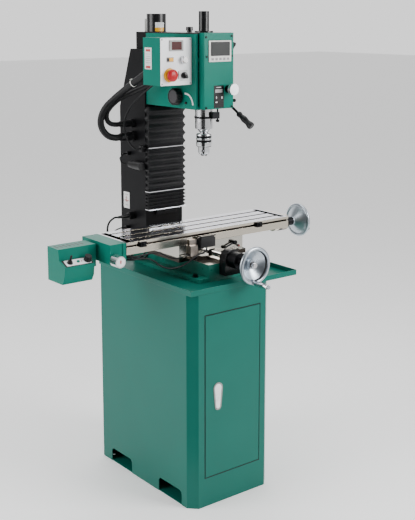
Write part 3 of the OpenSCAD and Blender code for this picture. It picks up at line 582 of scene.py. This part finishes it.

# ---------- CAD nodes that keep their shape ----------
# The cabinet, its door and the chip tray take the darker copy of the green paint, which is painted
# shade.
DRESSED = {
    "cabinet_shell": (shaded_green_paint, 0.7), "cabinet_door": (shaded_green_paint, 1.2),
    "door_hinge_pins": (turned_steel, 0.3), "door_pull_case": (grey_plastic, 0.5),
    "door_pull_paddle": (white_plastic, 1.0), "chip_tray": (shaded_green_paint, 0.9),
    "machine_base": (base_paint, 1.4), "base_bolts": (black_oxide, 0.6),
    "y_bearing_bracket": (black_paint, 1.0), "y_leadscrew": (turned_steel, 0.4),
    "y_dial": (black_oxide, 0.8), "saddle": (saddle_iron, 0.6),
    "saddle_lock_lever": (black_oxide, 0.5), "limit_switch": (switch_body, 0.8),
    "table": (table_iron, 0.3), "table_end_bracket": (bracket_iron, 1.0),
    "x_leadscrew": (turned_steel, 0.4), "x_dial": (black_oxide, 0.8),
    "table_stops": (black_oxide, 0.5), "feed_gearbox": (green_paint, 1.2),
    "feed_housing": (green_paint, 1.0), "feed_lever": (black_plastic, 0.4),
    "feed_speed_knob": (black_plastic, 0.8), "clutch_knob": (turned_steel, 1.0),
    "column": (column_paint, 1.5), "lift_housing": (column_paint, 1.0),
    "lift_motor": (black_paint, 1.2), "z_leadscrew": (turned_steel, 0.4),
    "column_fittings": (black_plastic, 0.6), "head_casting": (green_paint, 1.5),
    "front_cover": (green_paint, 0.8), "top_cover": (black_paint, 0.7),
    "drawbar_cap": (black_paint, 1.2), "quill": (ground_steel, 0.6),
    "spindle": (turned_steel, 0.4), "depth_rod": (black_oxide, 0.4),
    "feed_hub": (black_oxide, 1.2), "fine_feed_knob": (knob_finish, 0.8),
    "quill_lock_lever": (black_oxide, 0.5), "spindle_motor": (black_paint, 1.5),
    "motor_pulley": (cast_aluminium, 0.5), "spindle_pulley": (cast_aluminium, 0.5),
    "drive_belt": (black_rubber, 0.3), "depth_display": (cream_plastic, 1.2),
    "control_box": (green_paint, 1.4), "power_button": (yellow_plastic, 0.8),
}
for node, (material, width) in DRESSED.items():
    dress(node, material, width)


# ---------- handwheels ----------
CRANK_RADIUS, CRANK_LENGTH = 55, 82


def handwheel(name, node, body, origin, facing, angle):
    """Cast wheel: round rim, turned groove, dished web, hub, and the crank's boss."""
    wheel = Solid(cast_aluminium, dark_steel).place(origin, facing)
    rim, groove, bead = 63, 50, 7
    wheel.lathe([(8.1, -34), (15, -34), (15, -31), (18, -29), (groove - 8, -14),
                 *arc(bead, range(-130, 131, 20), rim - bead),
                 (groove + 0.5, 2.5), (groove, 0), (groove - 1.6, -4), (30, -16.5),
                 (16, -25), (13.5, -25.5), (13, -12), (12, -11), (8.1, -11)], 96, ring=True)
    # A dark steel band lining the groove's wall: painted shade in the crease between rim and web.
    wheel.use(1).lathe([(groove + 0.2, 2.2), (groove + 1.0, 1.6), (groove - 1.0, -4.4),
                        (groove - 2.0, -3.6)], 96, ring=True)
    wheel.lathe([(8.4, -11.2), (12.4, -11.2), (12.4, -10.0), (8.4, -10.0)], 48, ring=True)
    wheel.place(origin, facing, angle).shift(CRANK_RADIUS, 0, 0).use(0)
    wheel.lathe([(0, -5), (7.5, -5), (8, -4), (8, 8), (7, 9), (4, 9), (4, 77), (6.5, 77),
                 (6.5, 80.5), (5.5, CRANK_LENGTH), (0, CRANK_LENGTH)], 32)
    wheel.make(name, body, "cast_aluminium", (node,), 0.5)


def crank(name, node, body, origin, facing, angle):
    """Revolving grip: swelling sleeve with a black end cap."""
    grip = Solid(polished, black_plastic)
    grip.place(origin, facing, angle).shift(CRANK_RADIUS, 0, 0)
    grip.lathe([(4.1, 9.4), (6.6, 9.4), (7.4, 12), (8.2, 18), (9.2, 34), (9.5, 48), (9.0, 60),
                (7.6, 72), (6.6, 75), (4.1, 75)], 40, ring=True)
    grip.use(1).lathe([(4.1, 75), (6.4, 75), (6.2, 76.5), (4.1, 76.5)], 40, ring=True)
    grip.make(name, body, "cast_aluminium", (node,))


cross_screw, long_screw = centre_mm("y_leadscrew"), centre_mm("x_leadscrew")
# Each wheel's node reaches to the end of its crank pin.
front_hub = (cross_screw.x, box_mm("y_handwheel")[0].y + CRANK_LENGTH, cross_screw.z)
side_hub = (box_mm("x_handwheel")[1].x - CRANK_LENGTH, long_screw.y, long_screw.z)
CROSS_TURN, LONG_TURN = -100, -63
handwheel("cross_handwheel_rim", "y_handwheel", "cross_screw", front_hub, FRONT, CROSS_TURN)
crank("cross_handwheel_grip", "y_crank_handle", "cross_crank", front_hub, FRONT, CROSS_TURN)
handwheel("long_handwheel_rim", "x_handwheel", "long_screw", side_hub, RIGHT, LONG_TURN)
crank("long_handwheel_grip", "x_crank_handle", "long_crank", side_hub, RIGHT, LONG_TURN)


# ---------- door seal, conduit tie, gib screw ----------
def door_seal():
    """Black strip in the gap around the door, with a lip on the cabinet's face.

    On the hinge side both stand further off, so that the door's edge clears them."""
    low, high = box_mm("cabinet_door")
    x0, x1, z0, z1 = low.x, high.x, low.z, high.z
    made = Solid(black_rubber)
    near, far, hinge_near, hinge_length = 0.5, 2.3, 1.6, 14
    front, back = low.y + 4, low.y + 14
    made.block((x0 - far, front, z0 - far), (x0 - near, back, z1 + far))
    made.block((x1 + hinge_near, front + 3, z0 - far), (x1 + far, back, z1 + far))
    made.block((x0 - far, front, z1 + near), (x1 - hinge_length, back, z1 + far))
    made.block((x0 - far, front, z0 - far), (x1 - hinge_length, back, z0 - near))
    near, far, hinge_near = 0.9, 3.6, 2.0
    back = box_mm("cabinet_shell")[0].y
    front = back - 0.5
    made.block((x0 - far, front, z0 - far), (x0 - near, back, z1 + far))
    made.block((x1 + hinge_near, front, z0 - far), (x1 + far, back, z1 + far))
    made.block((x0 - near, front, z1 + near), (x1 + hinge_near, back, z1 + far))
    made.block((x0 - near, front, z0 - far), (x1 + hinge_near, back, z0 - near))
    made.make("door_seal", "root", "black_rubber")


def conduit_tie():
    """Nylon tie three tenths of the way down the large conduit, with its head and tail."""
    route = smooth_route(CONDUIT_A)
    index = len(route) * 3 // 10
    along = (route[index + 1] - route[index]).normalized()
    made = Solid(cream_plastic)
    made.place(route[index], along.to_track_quat("Z", "X").to_matrix())
    made.lathe([(12.3, -1.6), (13.6, -1.6), (13.6, 1.6), (12.3, 1.6)], 40, ring=True)
    made.block((12.8, -2.6, -2.4), (16.6, 2.6, 2.4))
    made.block((13.4, -9.5, -1.2), (14.4, -2.0, 1.2))
    piece = made.make("conduit_tie", slot="white_plastic", bevel=0.2)
    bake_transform(piece)


def gib_screw():
    """Hexagon screw with a red tip, at the right of the saddle's front."""
    made = Solid(dark_steel, label_red)
    made.place((171, -90, 813), FRONT).lathe([(0, -1), (4.6, -1), (4.6, 3.4), (4.0, 4), (0, 4)], 6)
    made.use(1).lathe([(0, 3.9), (2.6, 3.9), (2.4, 6.4), (0, 6.6)], 24)
    made.make("saddle_gib_screw", "saddle", "bright_steel")


door_seal()
conduit_tie()
gib_screw()


# ---------- bellows ----------
def fold_level(z, inset, left, right, front, back):
    """Outline at one height of a fold, from the back left corner round to the right."""
    x0, x1, y = left + inset, right - inset, front + inset
    return [(x0, back, z), (x0, y + 4, z), (x0 + 1.2, y + 1.2, z), (x0 + 4, y, z),
            (x1 - 4, y, z), (x1 - 1.2, y + 1.2, z), (x1, y + 4, z), (x1, back, z)]


def bellows():
    """Three runs of pleats, each ending in a bright steel strip."""
    low, high = box_mm("bellows")
    made = Solid(bellows_cloth, polished)
    strips = [1143, 986, 921]
    pleats = [5, 7, 5]
    pleat_depth, pleat_steps, half_strip = 6, 8, 1.5
    left, right, front, back = low.x + 1, high.x - 1, low.y + 1, high.y - 0.5
    for top, bottom, count in zip([high.z, *strips], strips, pleats):
        steps = pleat_steps * count
        levels = []
        for i in range(steps + 1):
            inset = pleat_depth * abs(math.cos(math.pi * i / pleat_steps)) ** 1.4
            z = top - half_strip - (top - bottom - 2 * half_strip) * i / steps
            levels.append(fold_level(z, inset, left, right, front, back))
        made.walls(levels, closed=False)
    made.use(1)
    for z in strips:
        made.block((left - 1, front - 1, z - 1.6), (right + 1, front + 9, z + 1.4))
        made.block((left - 1, front + 9, z - 1.6), (left + 1, back, z + 1.4))
        made.block((right - 1, front + 9, z - 1.6), (right + 1, back, z + 1.4))
    piece = made.make("bellows_folds", slot="bellows_cloth", replaces=("bellows",))
    thick = piece.modifiers.new("thickness", "SOLIDIFY")
    thick.thickness = 0.0012
    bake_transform(piece)


bellows()


# ---------- spindle and chuck ----------
def chuck():
    """Keyed chuck: body, dark knurled bands, geared sleeve, key holes and three jaws."""
    x, y = centre_mm("spindle").xy
    made = Solid(polished, black_oxide, dark_steel).place((x, y, 0))
    made.lathe([(12.2, 1199), (12.2, 1212.4), (20, 1212.4), (25, 1209.5), (26.5, 1206.5),
                (26.5, 1203.5), (25.2, 1202.5), (25.2, 1195.5), (26.5, 1194.5), (26.5, 1189.5),
                (25.2, 1188.5), (25.2, 1181.5), (26.5, 1180.5), (26.5, 1171), (25.6, 1168),
                (19.6, 1166), (19.2, 1165), (19.2, 1147), (18.4, 1143), (16, 1139.4),
                (13, 1138), (11.2, 1138), (11.2, 1199)], 72, ring=True)
    made.use(1)
    for z in (1195.8, 1181.8):
        made.lathe([(25.0, z), (25.7, z), (25.7, z + 6.4), (25.0, z + 6.4)], 72, ring=True)
    made.use(2)
    for k in range(24):
        made.place((x, y, 0), UP, k * 15)
        made.block((19.3, -1.1, 1165.2), (24.6, 1.1, 1168.2))
    for angle in (215, 335, 95):
        made.place((x, y, 0), UP, angle).shift(18.6, 0, 1152, RIGHT)
        made.use(1).lathe([(0, 0), (3.1, 0), (3.1, 0.75), (0, 0.75)], 24)
        made.use(0).lathe([(3.1, 0), (3.7, 0), (3.7, 0.85), (3.1, 0.85)], 24, ring=True)
    jaw = arc(5, range(-40, 41, 16)) + arc(10.4, range(44, -45, -16))
    for angle in (60, 180, 300):
        made.place((x, y, 0), UP, angle).use(2)
        made.prism(jaw, 1134.2, 1166)
    made.make("chuck_body", "spindle", "chrome", ("drill_chuck",), 0.25)


chuck()


# ---------- knobs, levers and buttons ----------
# The stop button's collar stands 6 mm out of the control box's front.
PANEL_Y = box_mm("control_box")[0].y + 6


def range_knob():
    """Fluted knob with a sunk, slightly domed face."""
    centre = centre_mm("range_knob")
    face = -box_mm("range_knob")[0].x
    made = Solid(black_plastic, dark_plastic).place((0, centre.y, centre.z), LEFT)
    made.lathe([(0, face - 26), (6, face - 26), (6, face - 25.4), (24, face - 25.4),
                (28.5, face - 22), (28.5, face - 4), (27, face - 1), (24.5, face),
                (23.4, face - 0.4), (22.6, face - 2), (0, face - 2)], 96, 12, 1.6)
    made.use(1).lathe([(0, face - 2.2), (21.8, face - 2.2), (21.8, face - 1.5),
                       (0, face - 1.2)], 64)
    made.make("range_knob_grip", "range_selector", "black_plastic", ("range_knob",), 0.4)


def feed_levers():
    """Three rods that lean outwards from the hub, with waisted grips."""
    hub = centre_mm("feed_hub")
    meeting_x = 144
    along_y = Matrix(((1, 0, 0), (0, 0, 1), (0, -1, 0)))
    lean = Matrix.Rotation(math.radians(-14), 3, "Z")
    made = Solid(black_plastic, black_oxide)
    for angle in (220, 100, 340):
        turn = Matrix.Rotation(math.radians(angle), 3, "X")
        made.place((meeting_x, hub.y, hub.z), turn @ lean @ along_y)
        made.use(1).lathe([(0, 18), (4.5, 18), (4.5, 112), (0, 112)], 24)
        made.use(0).lathe([(0, 108), (6.4, 108), (9.6, 112), (10.4, 117), (9.4, 121), (8.2, 124),
                           (8.8, 128), (11, 136), (11.6, 143), (10.2, 151), (9.6, 156),
                           (11.2, 164), (13.4, 171), (13.2, 177), (10.5, 180), (0, 180.4)], 32)
    made.make("feed_lever_grips", "feed_hub", "black_plastic", ("feed_levers",))


def on_panel(solid, node, turn=0.0):
    """Places what comes next on the control panel, about the node's own axis."""
    centre = centre_mm(node)
    return solid.place((centre.x, PANEL_Y, centre.z), FRONT, turn)


def stop_button():
    """Mushroom cap over a yellow collar, high enough to clear it when pressed."""
    made = on_panel(Solid(red_plastic), "stop_button")
    made.lathe([(0, -9), (8, -9), (8, 12.6), (14, 12.8), (18.6, 13.8), (20, 16), (20, 19),
                (19, 21.6), (16.5, 23.6), (15.4, 23.4), (14.6, 24.2), (9, 25.6), (0, 26)], 64)
    made.make("stop_button_cap", "stop", "red_plastic", ("stop_button",))
    base = on_panel(Solid(yellow_plastic), "stop_button")
    base.lathe([(8.4, 0.2), (23, 0.2), (23, 2.2), (21.8, 3.4), (19.6, 6.2), (8.4, 6.2)], 64,
               ring=True)
    base.make("stop_button_base", "head", "yellow_plastic", bevel=0.4)


def speed_knob():
    """Fluted knob with a pale face, and the ring and marks behind it."""
    knob = on_panel(Solid(polished, white_plastic), "speed_knob")
    knob.lathe([(0, -7), (4, -7), (4, 0.7), (12.4, 0.7), (12.4, 9), (11.6, 15.4), (10.6, 16.4),
                (0, 16.4)], 72, 24, 0.5)
    knob.use(1).lathe([(0, 16.3), (9.6, 16.3), (9.4, 17), (0, 17)], 48)
    knob.make("speed_knob_grip", "spindle_speed", "bright_steel", ("speed_knob",))
    ring = on_panel(Solid(white_plastic, dark_steel), "speed_knob")
    ring.lathe([(13, 0), (15.5, 0), (15.5, 0.9), (13, 0.9)], 64, ring=True)
    for angle in range(-60, 241, 30):
        on_panel(ring, "speed_knob", angle)
        ring.use(1).block((16.6, -0.4, 0), (18.8, 0.4, 0.4))
    ring.make("speed_knob_scale", "head", "white_plastic", bevel=0.2)


def direction_switch():
    """Round base with a bar across it and a white pointer."""
    switch = on_panel(Solid(black_plastic, label_white), "direction_switch")
    switch.lathe([(0, -7), (4, -7), (4, 0.6), (11, 0.6), (11, 8), (10.2, 10), (0, 10)], 48)
    on_panel(switch, "direction_switch", 28)
    switch.plate(0, 0, 7.6, 20, 8.5, 18.6, 2.5)
    switch.use(1).block((-0.6, 4, 18.5), (0.6, 9, 18.9))
    switch.make("direction_switch_grip", "direction", "black_plastic", ("direction_switch",), 0.6)


range_knob()
feed_levers()
stop_button()
speed_knob()
direction_switch()


# ---------- control box face ----------
def control_panel():
    """Front plate with a meter, the power button's and the switch's plates, and four screws."""
    made = Solid(white_paint, grey_plastic, red_window, black_plastic, label_grey, label_white)
    made.place((0, PANEL_Y, 0), FRONT)
    centre = centre_mm("control_box")
    # material, then centre x and z, width, height, back, front and corner radius
    plates = ((0, centre.x - 0.5, centre.z, 124, 153, -0.4, 1.0, 3),
              (1, -84, 1507.5, 55, 35, 0.8, 4.2, 2),
              (2, -83, 1507, 40, 26, 3.2, 4.6, 1),
              (4, -108, 1463, 28, 16, 0.8, 2.4, 1.5),
              (3, -116.5, 1463, 7, 11, 1.0, 4.6, 1),
              (5, -54, 1411, 32, 35, 0.8, 2.0, 2),
              (3, -74, 1412, 3, 26, 0.9, 1.4, 0.6))
    for material, *plate in plates:
        made.use(material).plate(*plate)
    for x in (-140, -27):
        for z in (1385, 1527):
            made.use(1).place((x, PANEL_Y, z), FRONT)
            made.lathe([(0, 0.6), (2.6, 0.6), (2.6, 1.8), (1.8, 2.4), (0, 2.4)], 24)
    made.make("control_panel", "head", "white_plastic", bevel=0.35)


def control_box_label():
    """Plain plate on the box's left side, with red and grey bars for its print."""
    side = Solid(label_white, label_red, label_grey)
    side.place((box_mm("control_box")[0].x, 0, 0), LEFT)
    y = 8.5
    side.plate(y, 1466, 39, 70, -0.2, 0.5, 2)
    for z in (1438, 1492):
        side.use(1).plate(y, z, 26, 8, 0.3, 0.7, 1)
    for k in range(5):
        side.use(2).plate(y, 1480 - 7 * k, 28 - 4 * (k % 2), 1.6, 0.3, 0.7, 0.5)
    side.make("control_box_side_label", "head", "white_plastic")


control_panel()
control_box_label()


# ---------- depth display ----------
def depth_display():
    """Black bezel with a grey window, over a row of five keys."""
    low, high = box_mm("depth_display")
    centre = (low.x + high.x) / 2
    made = Solid(black_plastic, lcd, label_grey, dark_steel).place((0, low.y, 0), FRONT)
    made.plate(centre, 1496, 80, 46, -0.5, 1.0, 2)
    made.use(1).plate(centre, 1496, 69, 36, 0.6, 1.4, 1)
    for k in range(-2, 3):
        made.use(2).plate(centre + 16 * k, 1463, 11, 9, -0.5, 0.8, 2)
        made.use(3).plate(centre + 16 * k, 1463, 5, 2.4, 0.6, 1.1, 0.8)
    made.make("depth_display_face", "head", "black_plastic", bevel=0.3)


depth_display()


# ---------- front cover ----------
def cover_screws():
    """Six socket screws on the front cover."""
    face = box_mm("front_cover")[0].y
    screws = Solid(black_oxide)
    for x, z in ((0, 1534), (107, 1537), (2, 1471), (107, 1472), (0, 1304), (108, 1304)):
        screws.place((x, face, z), FRONT)
        screws.lathe([(0, -0.3), (3.5, -0.3), (3.5, 2.1), (3.1, 2.6), (1.6, 2.6), (1.6, 0.9),
                      (0, 0.9)], 28)
    screws.make("front_cover_screws", "head", "black_oxide")


def spindle_label():
    """Black plate with pale patches for its print."""
    label = Solid(black_paint, label_white, label_grey)
    label.place((0, box_mm("front_cover")[0].y, 0), FRONT)
    label.plate(53.5, 1339, 41, 74, -0.3, 0.7, 1)
    label.use(2).plate(53, 1358, 30, 11, 0.5, 0.95, 1.5)
    label.use(1)
    for x, z, width, height, radius in ((43, 1337, 3, 8, 1), (66, 1336, 4, 8, 1),
                                        (43, 1321, 8, 4, 1), (53, 1370, 20, 2, 0.8)):
        label.plate(x, z, width, height, 0.5, 0.95, radius)
    label.make("spindle_label", "head", "black_plastic")


def range_scale():
    """White arc beside the range knob, and the small plug below it."""
    side = box_mm("head_casting")[0].x
    made = Solid(label_white, black_plastic).place((side, 0, 0), LEFT)
    centre, radius, half_width = (43, 1308), 39.5, 3
    first, last, steps = 5, 98, 16
    angles = [first + (last - first) * k / steps for k in range(steps + 1)]
    outline = (arc(radius - half_width, reversed(angles), *centre)
               + arc(radius + half_width, angles, *centre))
    made.prism(outline, -0.2, 0.6)
    made.use(1).place((side, -46, 1317), LEFT)
    made.lathe([(0, -0.5), (4.5, -0.5), (4.5, 3), (3.4, 5), (0, 5.4)], 28)
    made.make("range_scale", "head", "white_plastic", bevel=0.15)


cover_screws()
spindle_label()
range_scale()


# ---------- lift motor ----------
def lift_motor_label():
    """White and yellow label round the motor, and the grey terminal box behind it."""
    x, y, radius = 54, 229, 34.5
    outline = arc(radius + 0.5, range(228, 286, 4)) + arc(radius - 0.3, range(284, 227, -4))
    made = Solid(label_white, yellow_plastic, grey_plastic).place((x, y, 0))
    made.prism(outline, 1562, 1580)
    made.use(1).prism(outline, 1549, 1562)
    made.use(2).place((0, 0, 0)).block((35.4, 250, 1547.5), (64.6, 274.6, 1592.6))
    made.make("lift_motor_label", "root", "white_plastic")


lift_motor_label()


# ---------- column label, power feed ----------
def column_label():
    """Plain plate with a red cross and grey bars for its print."""
    made = Solid(label_white, label_red, label_grey)
    made.place((box_mm("column")[0].x, 0, 0), LEFT)
    made.plate(-313, 937, 38, 60, -0.3, 0.6, 1.5)
    made.use(1).plate(-313, 936, 26, 3, 0.4, 0.9, 0.8)
    made.plate(-315, 941, 3, 22, 0.4, 0.9, 0.8)
    made.use(2)
    for z in range(919, 959, 13):
        made.plate(-311, z, 18, 2, 0.4, 0.9, 0.6)
    made.make("column_label", "root", "white_plastic")


# The power feed's panel lies on a slope that rises 16 mm in 36.
FEED_SLOPE = Matrix.Rotation(math.atan2(16, 36), 3, "X")


def on_feed_panel(solid, x, turn=0.0):
    """Places what comes next on the middle line of the power feed's panel."""
    return solid.place((x, -35, 837), FEED_SLOPE, turn)


def feed_panel():
    """White plate on a black one, with the speed knob's marks and a red start button."""
    made = Solid(black_plastic, white_paint, red_plastic, label_grey)
    on_feed_panel(made, -442).plate(0, 0, 100, 35, -0.3, 0.5, 1)
    made.use(1).plate(0, 0, 88, 29, 0.3, 1.0, 1.5)
    for angle in range(-30, 211, 30):
        on_feed_panel(made, -406, angle).use(3).block((14.4, -0.4, 0.9), (16.4, 0.4, 1.3))
    on_feed_panel(made, -428).use(2).lathe([(0, 0.5), (2, 0.5), (2, 2.4), (0, 2.8)], 20)
    made.make("feed_panel", "table", "white_plastic", bevel=0.2)


def feed_vents():
    """Seven black plates on the power feed housing's top, where its vent slots are: painted shade
    in place of the dark openings.
    """
    vents = Solid(black_plastic).place((0, 0, box_mm("feed_housing")[1].z))
    for k in range(7):
        vents.plate(-484 + 15 * k, 24, 6, 30, -0.4, 0.12, 2.5)
    vents.make("feed_housing_vents", "table", "black_plastic")


def clutch_face():
    """White disc with a red arrow on the clutch knob's end."""
    centre = centre_mm("clutch_knob")
    face = Solid(white_plastic, red_plastic)
    face.place((centre.x, box_mm("clutch_knob")[0].y, centre.z), FRONT)
    face.lathe([(0, -0.2), (16, -0.2), (15.4, 0.6), (0, 0.6)], 56)
    face.use(1).prism([(-1.6, -5), (1.6, -5), (2.6, 3), (0, 9), (-2.6, 3)], 0.5, 1.0)
    face.make("clutch_knob_face", "feed_clutch", "bright_steel")


column_label()
feed_panel()
feed_vents()
clutch_face()


# ---------- stage ----------
def make_stage():
    """Pale floor that gives back a little light."""
    mesh = bpy.data.meshes.new("floor")
    size = 30.0
    mesh.from_pydata([(-size, -size, 0), (size, -size, 0), (size, size, 0), (-size, size, 0)], [],
                     [(0, 1, 2, 3)])
    floor = bpy.data.objects.new("floor", mesh)
    bpy.context.scene.collection.objects.link(floor)
    s = Shader("floor_white")
    s.feed("Base Color", s.mix(s.noise(2, 2), (0.90, 0.90, 0.90), (0.94, 0.94, 0.94)))
    s.set(Roughness=0.7, Emission_Color=(1, 1, 1, 1), Emission_Strength=0.3)
    mesh.materials.append(s.mat)


def make_world():
    """Pale to the camera; to the surfaces a studio with soft boxes and darker gaps."""
    world = bpy.data.worlds.new("studio")
    bpy.context.scene.world = world
    world.use_nodes = True
    nodes, links = world.node_tree.nodes, world.node_tree.links
    plain = nodes["Background"]
    plain.inputs["Color"].default_value = (1, 1, 1, 1)
    plain.inputs["Strength"].default_value = 1.3
    coords = nodes.new("ShaderNodeTexCoord")
    split = nodes.new("ShaderNodeSeparateXYZ")
    links.new(coords.outputs["Generated"], split.inputs[0])
    angle = nodes.new("ShaderNodeMath")
    angle.operation = "ARCTAN2"
    links.new(split.outputs[1], angle.inputs[0])
    links.new(split.outputs[0], angle.inputs[1])
    share = nodes.new("ShaderNodeMapRange")
    share.inputs["From Min"].default_value = -math.pi
    share.inputs["From Max"].default_value = math.pi
    links.new(angle.outputs[0], share.inputs["Value"])
    ramp = nodes.new("ShaderNodeValToRGB")
    stops = [(0.0, 0.6), (0.04, 0.15), (0.08, 0.07), (0.20, 0.07), (0.25, 0.5), (0.30, 0.9),
             (0.40, 0.9), (0.48, 0.5), (0.56, 1.0), (0.63, 1.9), (0.76, 1.9), (0.80, 0.8),
             (0.83, 0.35), (0.90, 0.35), (0.94, 0.6), (1.0, 0.6)]
    for i, (place, light) in enumerate(stops):
        stop = ramp.color_ramp.elements[i] if i < 2 else ramp.color_ramp.elements.new(place)
        stop.position = place
        stop.color = (light, light, light, 1)
    links.new(share.outputs[0], ramp.inputs["Fac"])
    studio = nodes.new("ShaderNodeBackground")
    studio.inputs["Strength"].default_value = 0.85
    links.new(ramp.outputs["Color"], studio.inputs["Color"])
    path = nodes.new("ShaderNodeLightPath")
    mixed = nodes.new("ShaderNodeMixShader")
    links.new(path.outputs["Is Camera Ray"], mixed.inputs["Fac"])
    links.new(studio.outputs[0], mixed.inputs[1])
    links.new(plain.outputs[0], mixed.inputs[2])
    links.new(mixed.outputs[0], nodes["World Output"].inputs["Surface"])


def area_light(name, place, target, size, power, mirrored=True):
    """A square soft light; mirrored=False keeps it out of the reflections."""
    data = bpy.data.lights.new(name, "AREA")
    data.size = size
    data.energy = power
    light = bpy.data.objects.new(name, data)
    bpy.context.scene.collection.objects.link(light)
    light.location = place
    light.rotation_euler = (Vector(target) - Vector(place)).to_track_quat("-Z", "Y").to_euler()
    light.visible_glossy = mirrored


def black_card():
    """A card on the floor before the machine that only darkens what its gloss mirrors."""
    near, far = 0.6, 25.0
    above_floor = 0.004
    angles = range(197, 248, 10)
    points = [(x, y, above_floor) for x, y in arc(near, angles) + arc(far, angles)]
    count = len(angles)
    faces = [(k, k + 1, count + k + 1, count + k) for k in range(count - 1)]
    mesh = bpy.data.meshes.new("black_card")
    mesh.from_pydata(points, [], faces)
    card = bpy.data.objects.new("black_card", mesh)
    bpy.context.scene.collection.objects.link(card)
    mesh.materials.append(moulded("card_black", (0.01, 0.01, 0.01), 0.9))
    card.visible_camera = False
    card.visible_diffuse = False
    card.visible_shadow = False


make_stage()
black_card()
make_world()
area_light("left", (-2.9, 0.8, 2.0), (0, 0, 0.9), 2.0, 74)
area_light("front", (1.1, -1.9, 2.0), (0, 0, 1.2), 1.2, 58)
area_light("camera_side", (-1.6, -3.2, 2.9), (0, 0, 0.9), 1.6, 10, mirrored=False)
area_light("top", (0, 0.2, 3.6), (0, 0, 0.9), 2.0, 35)
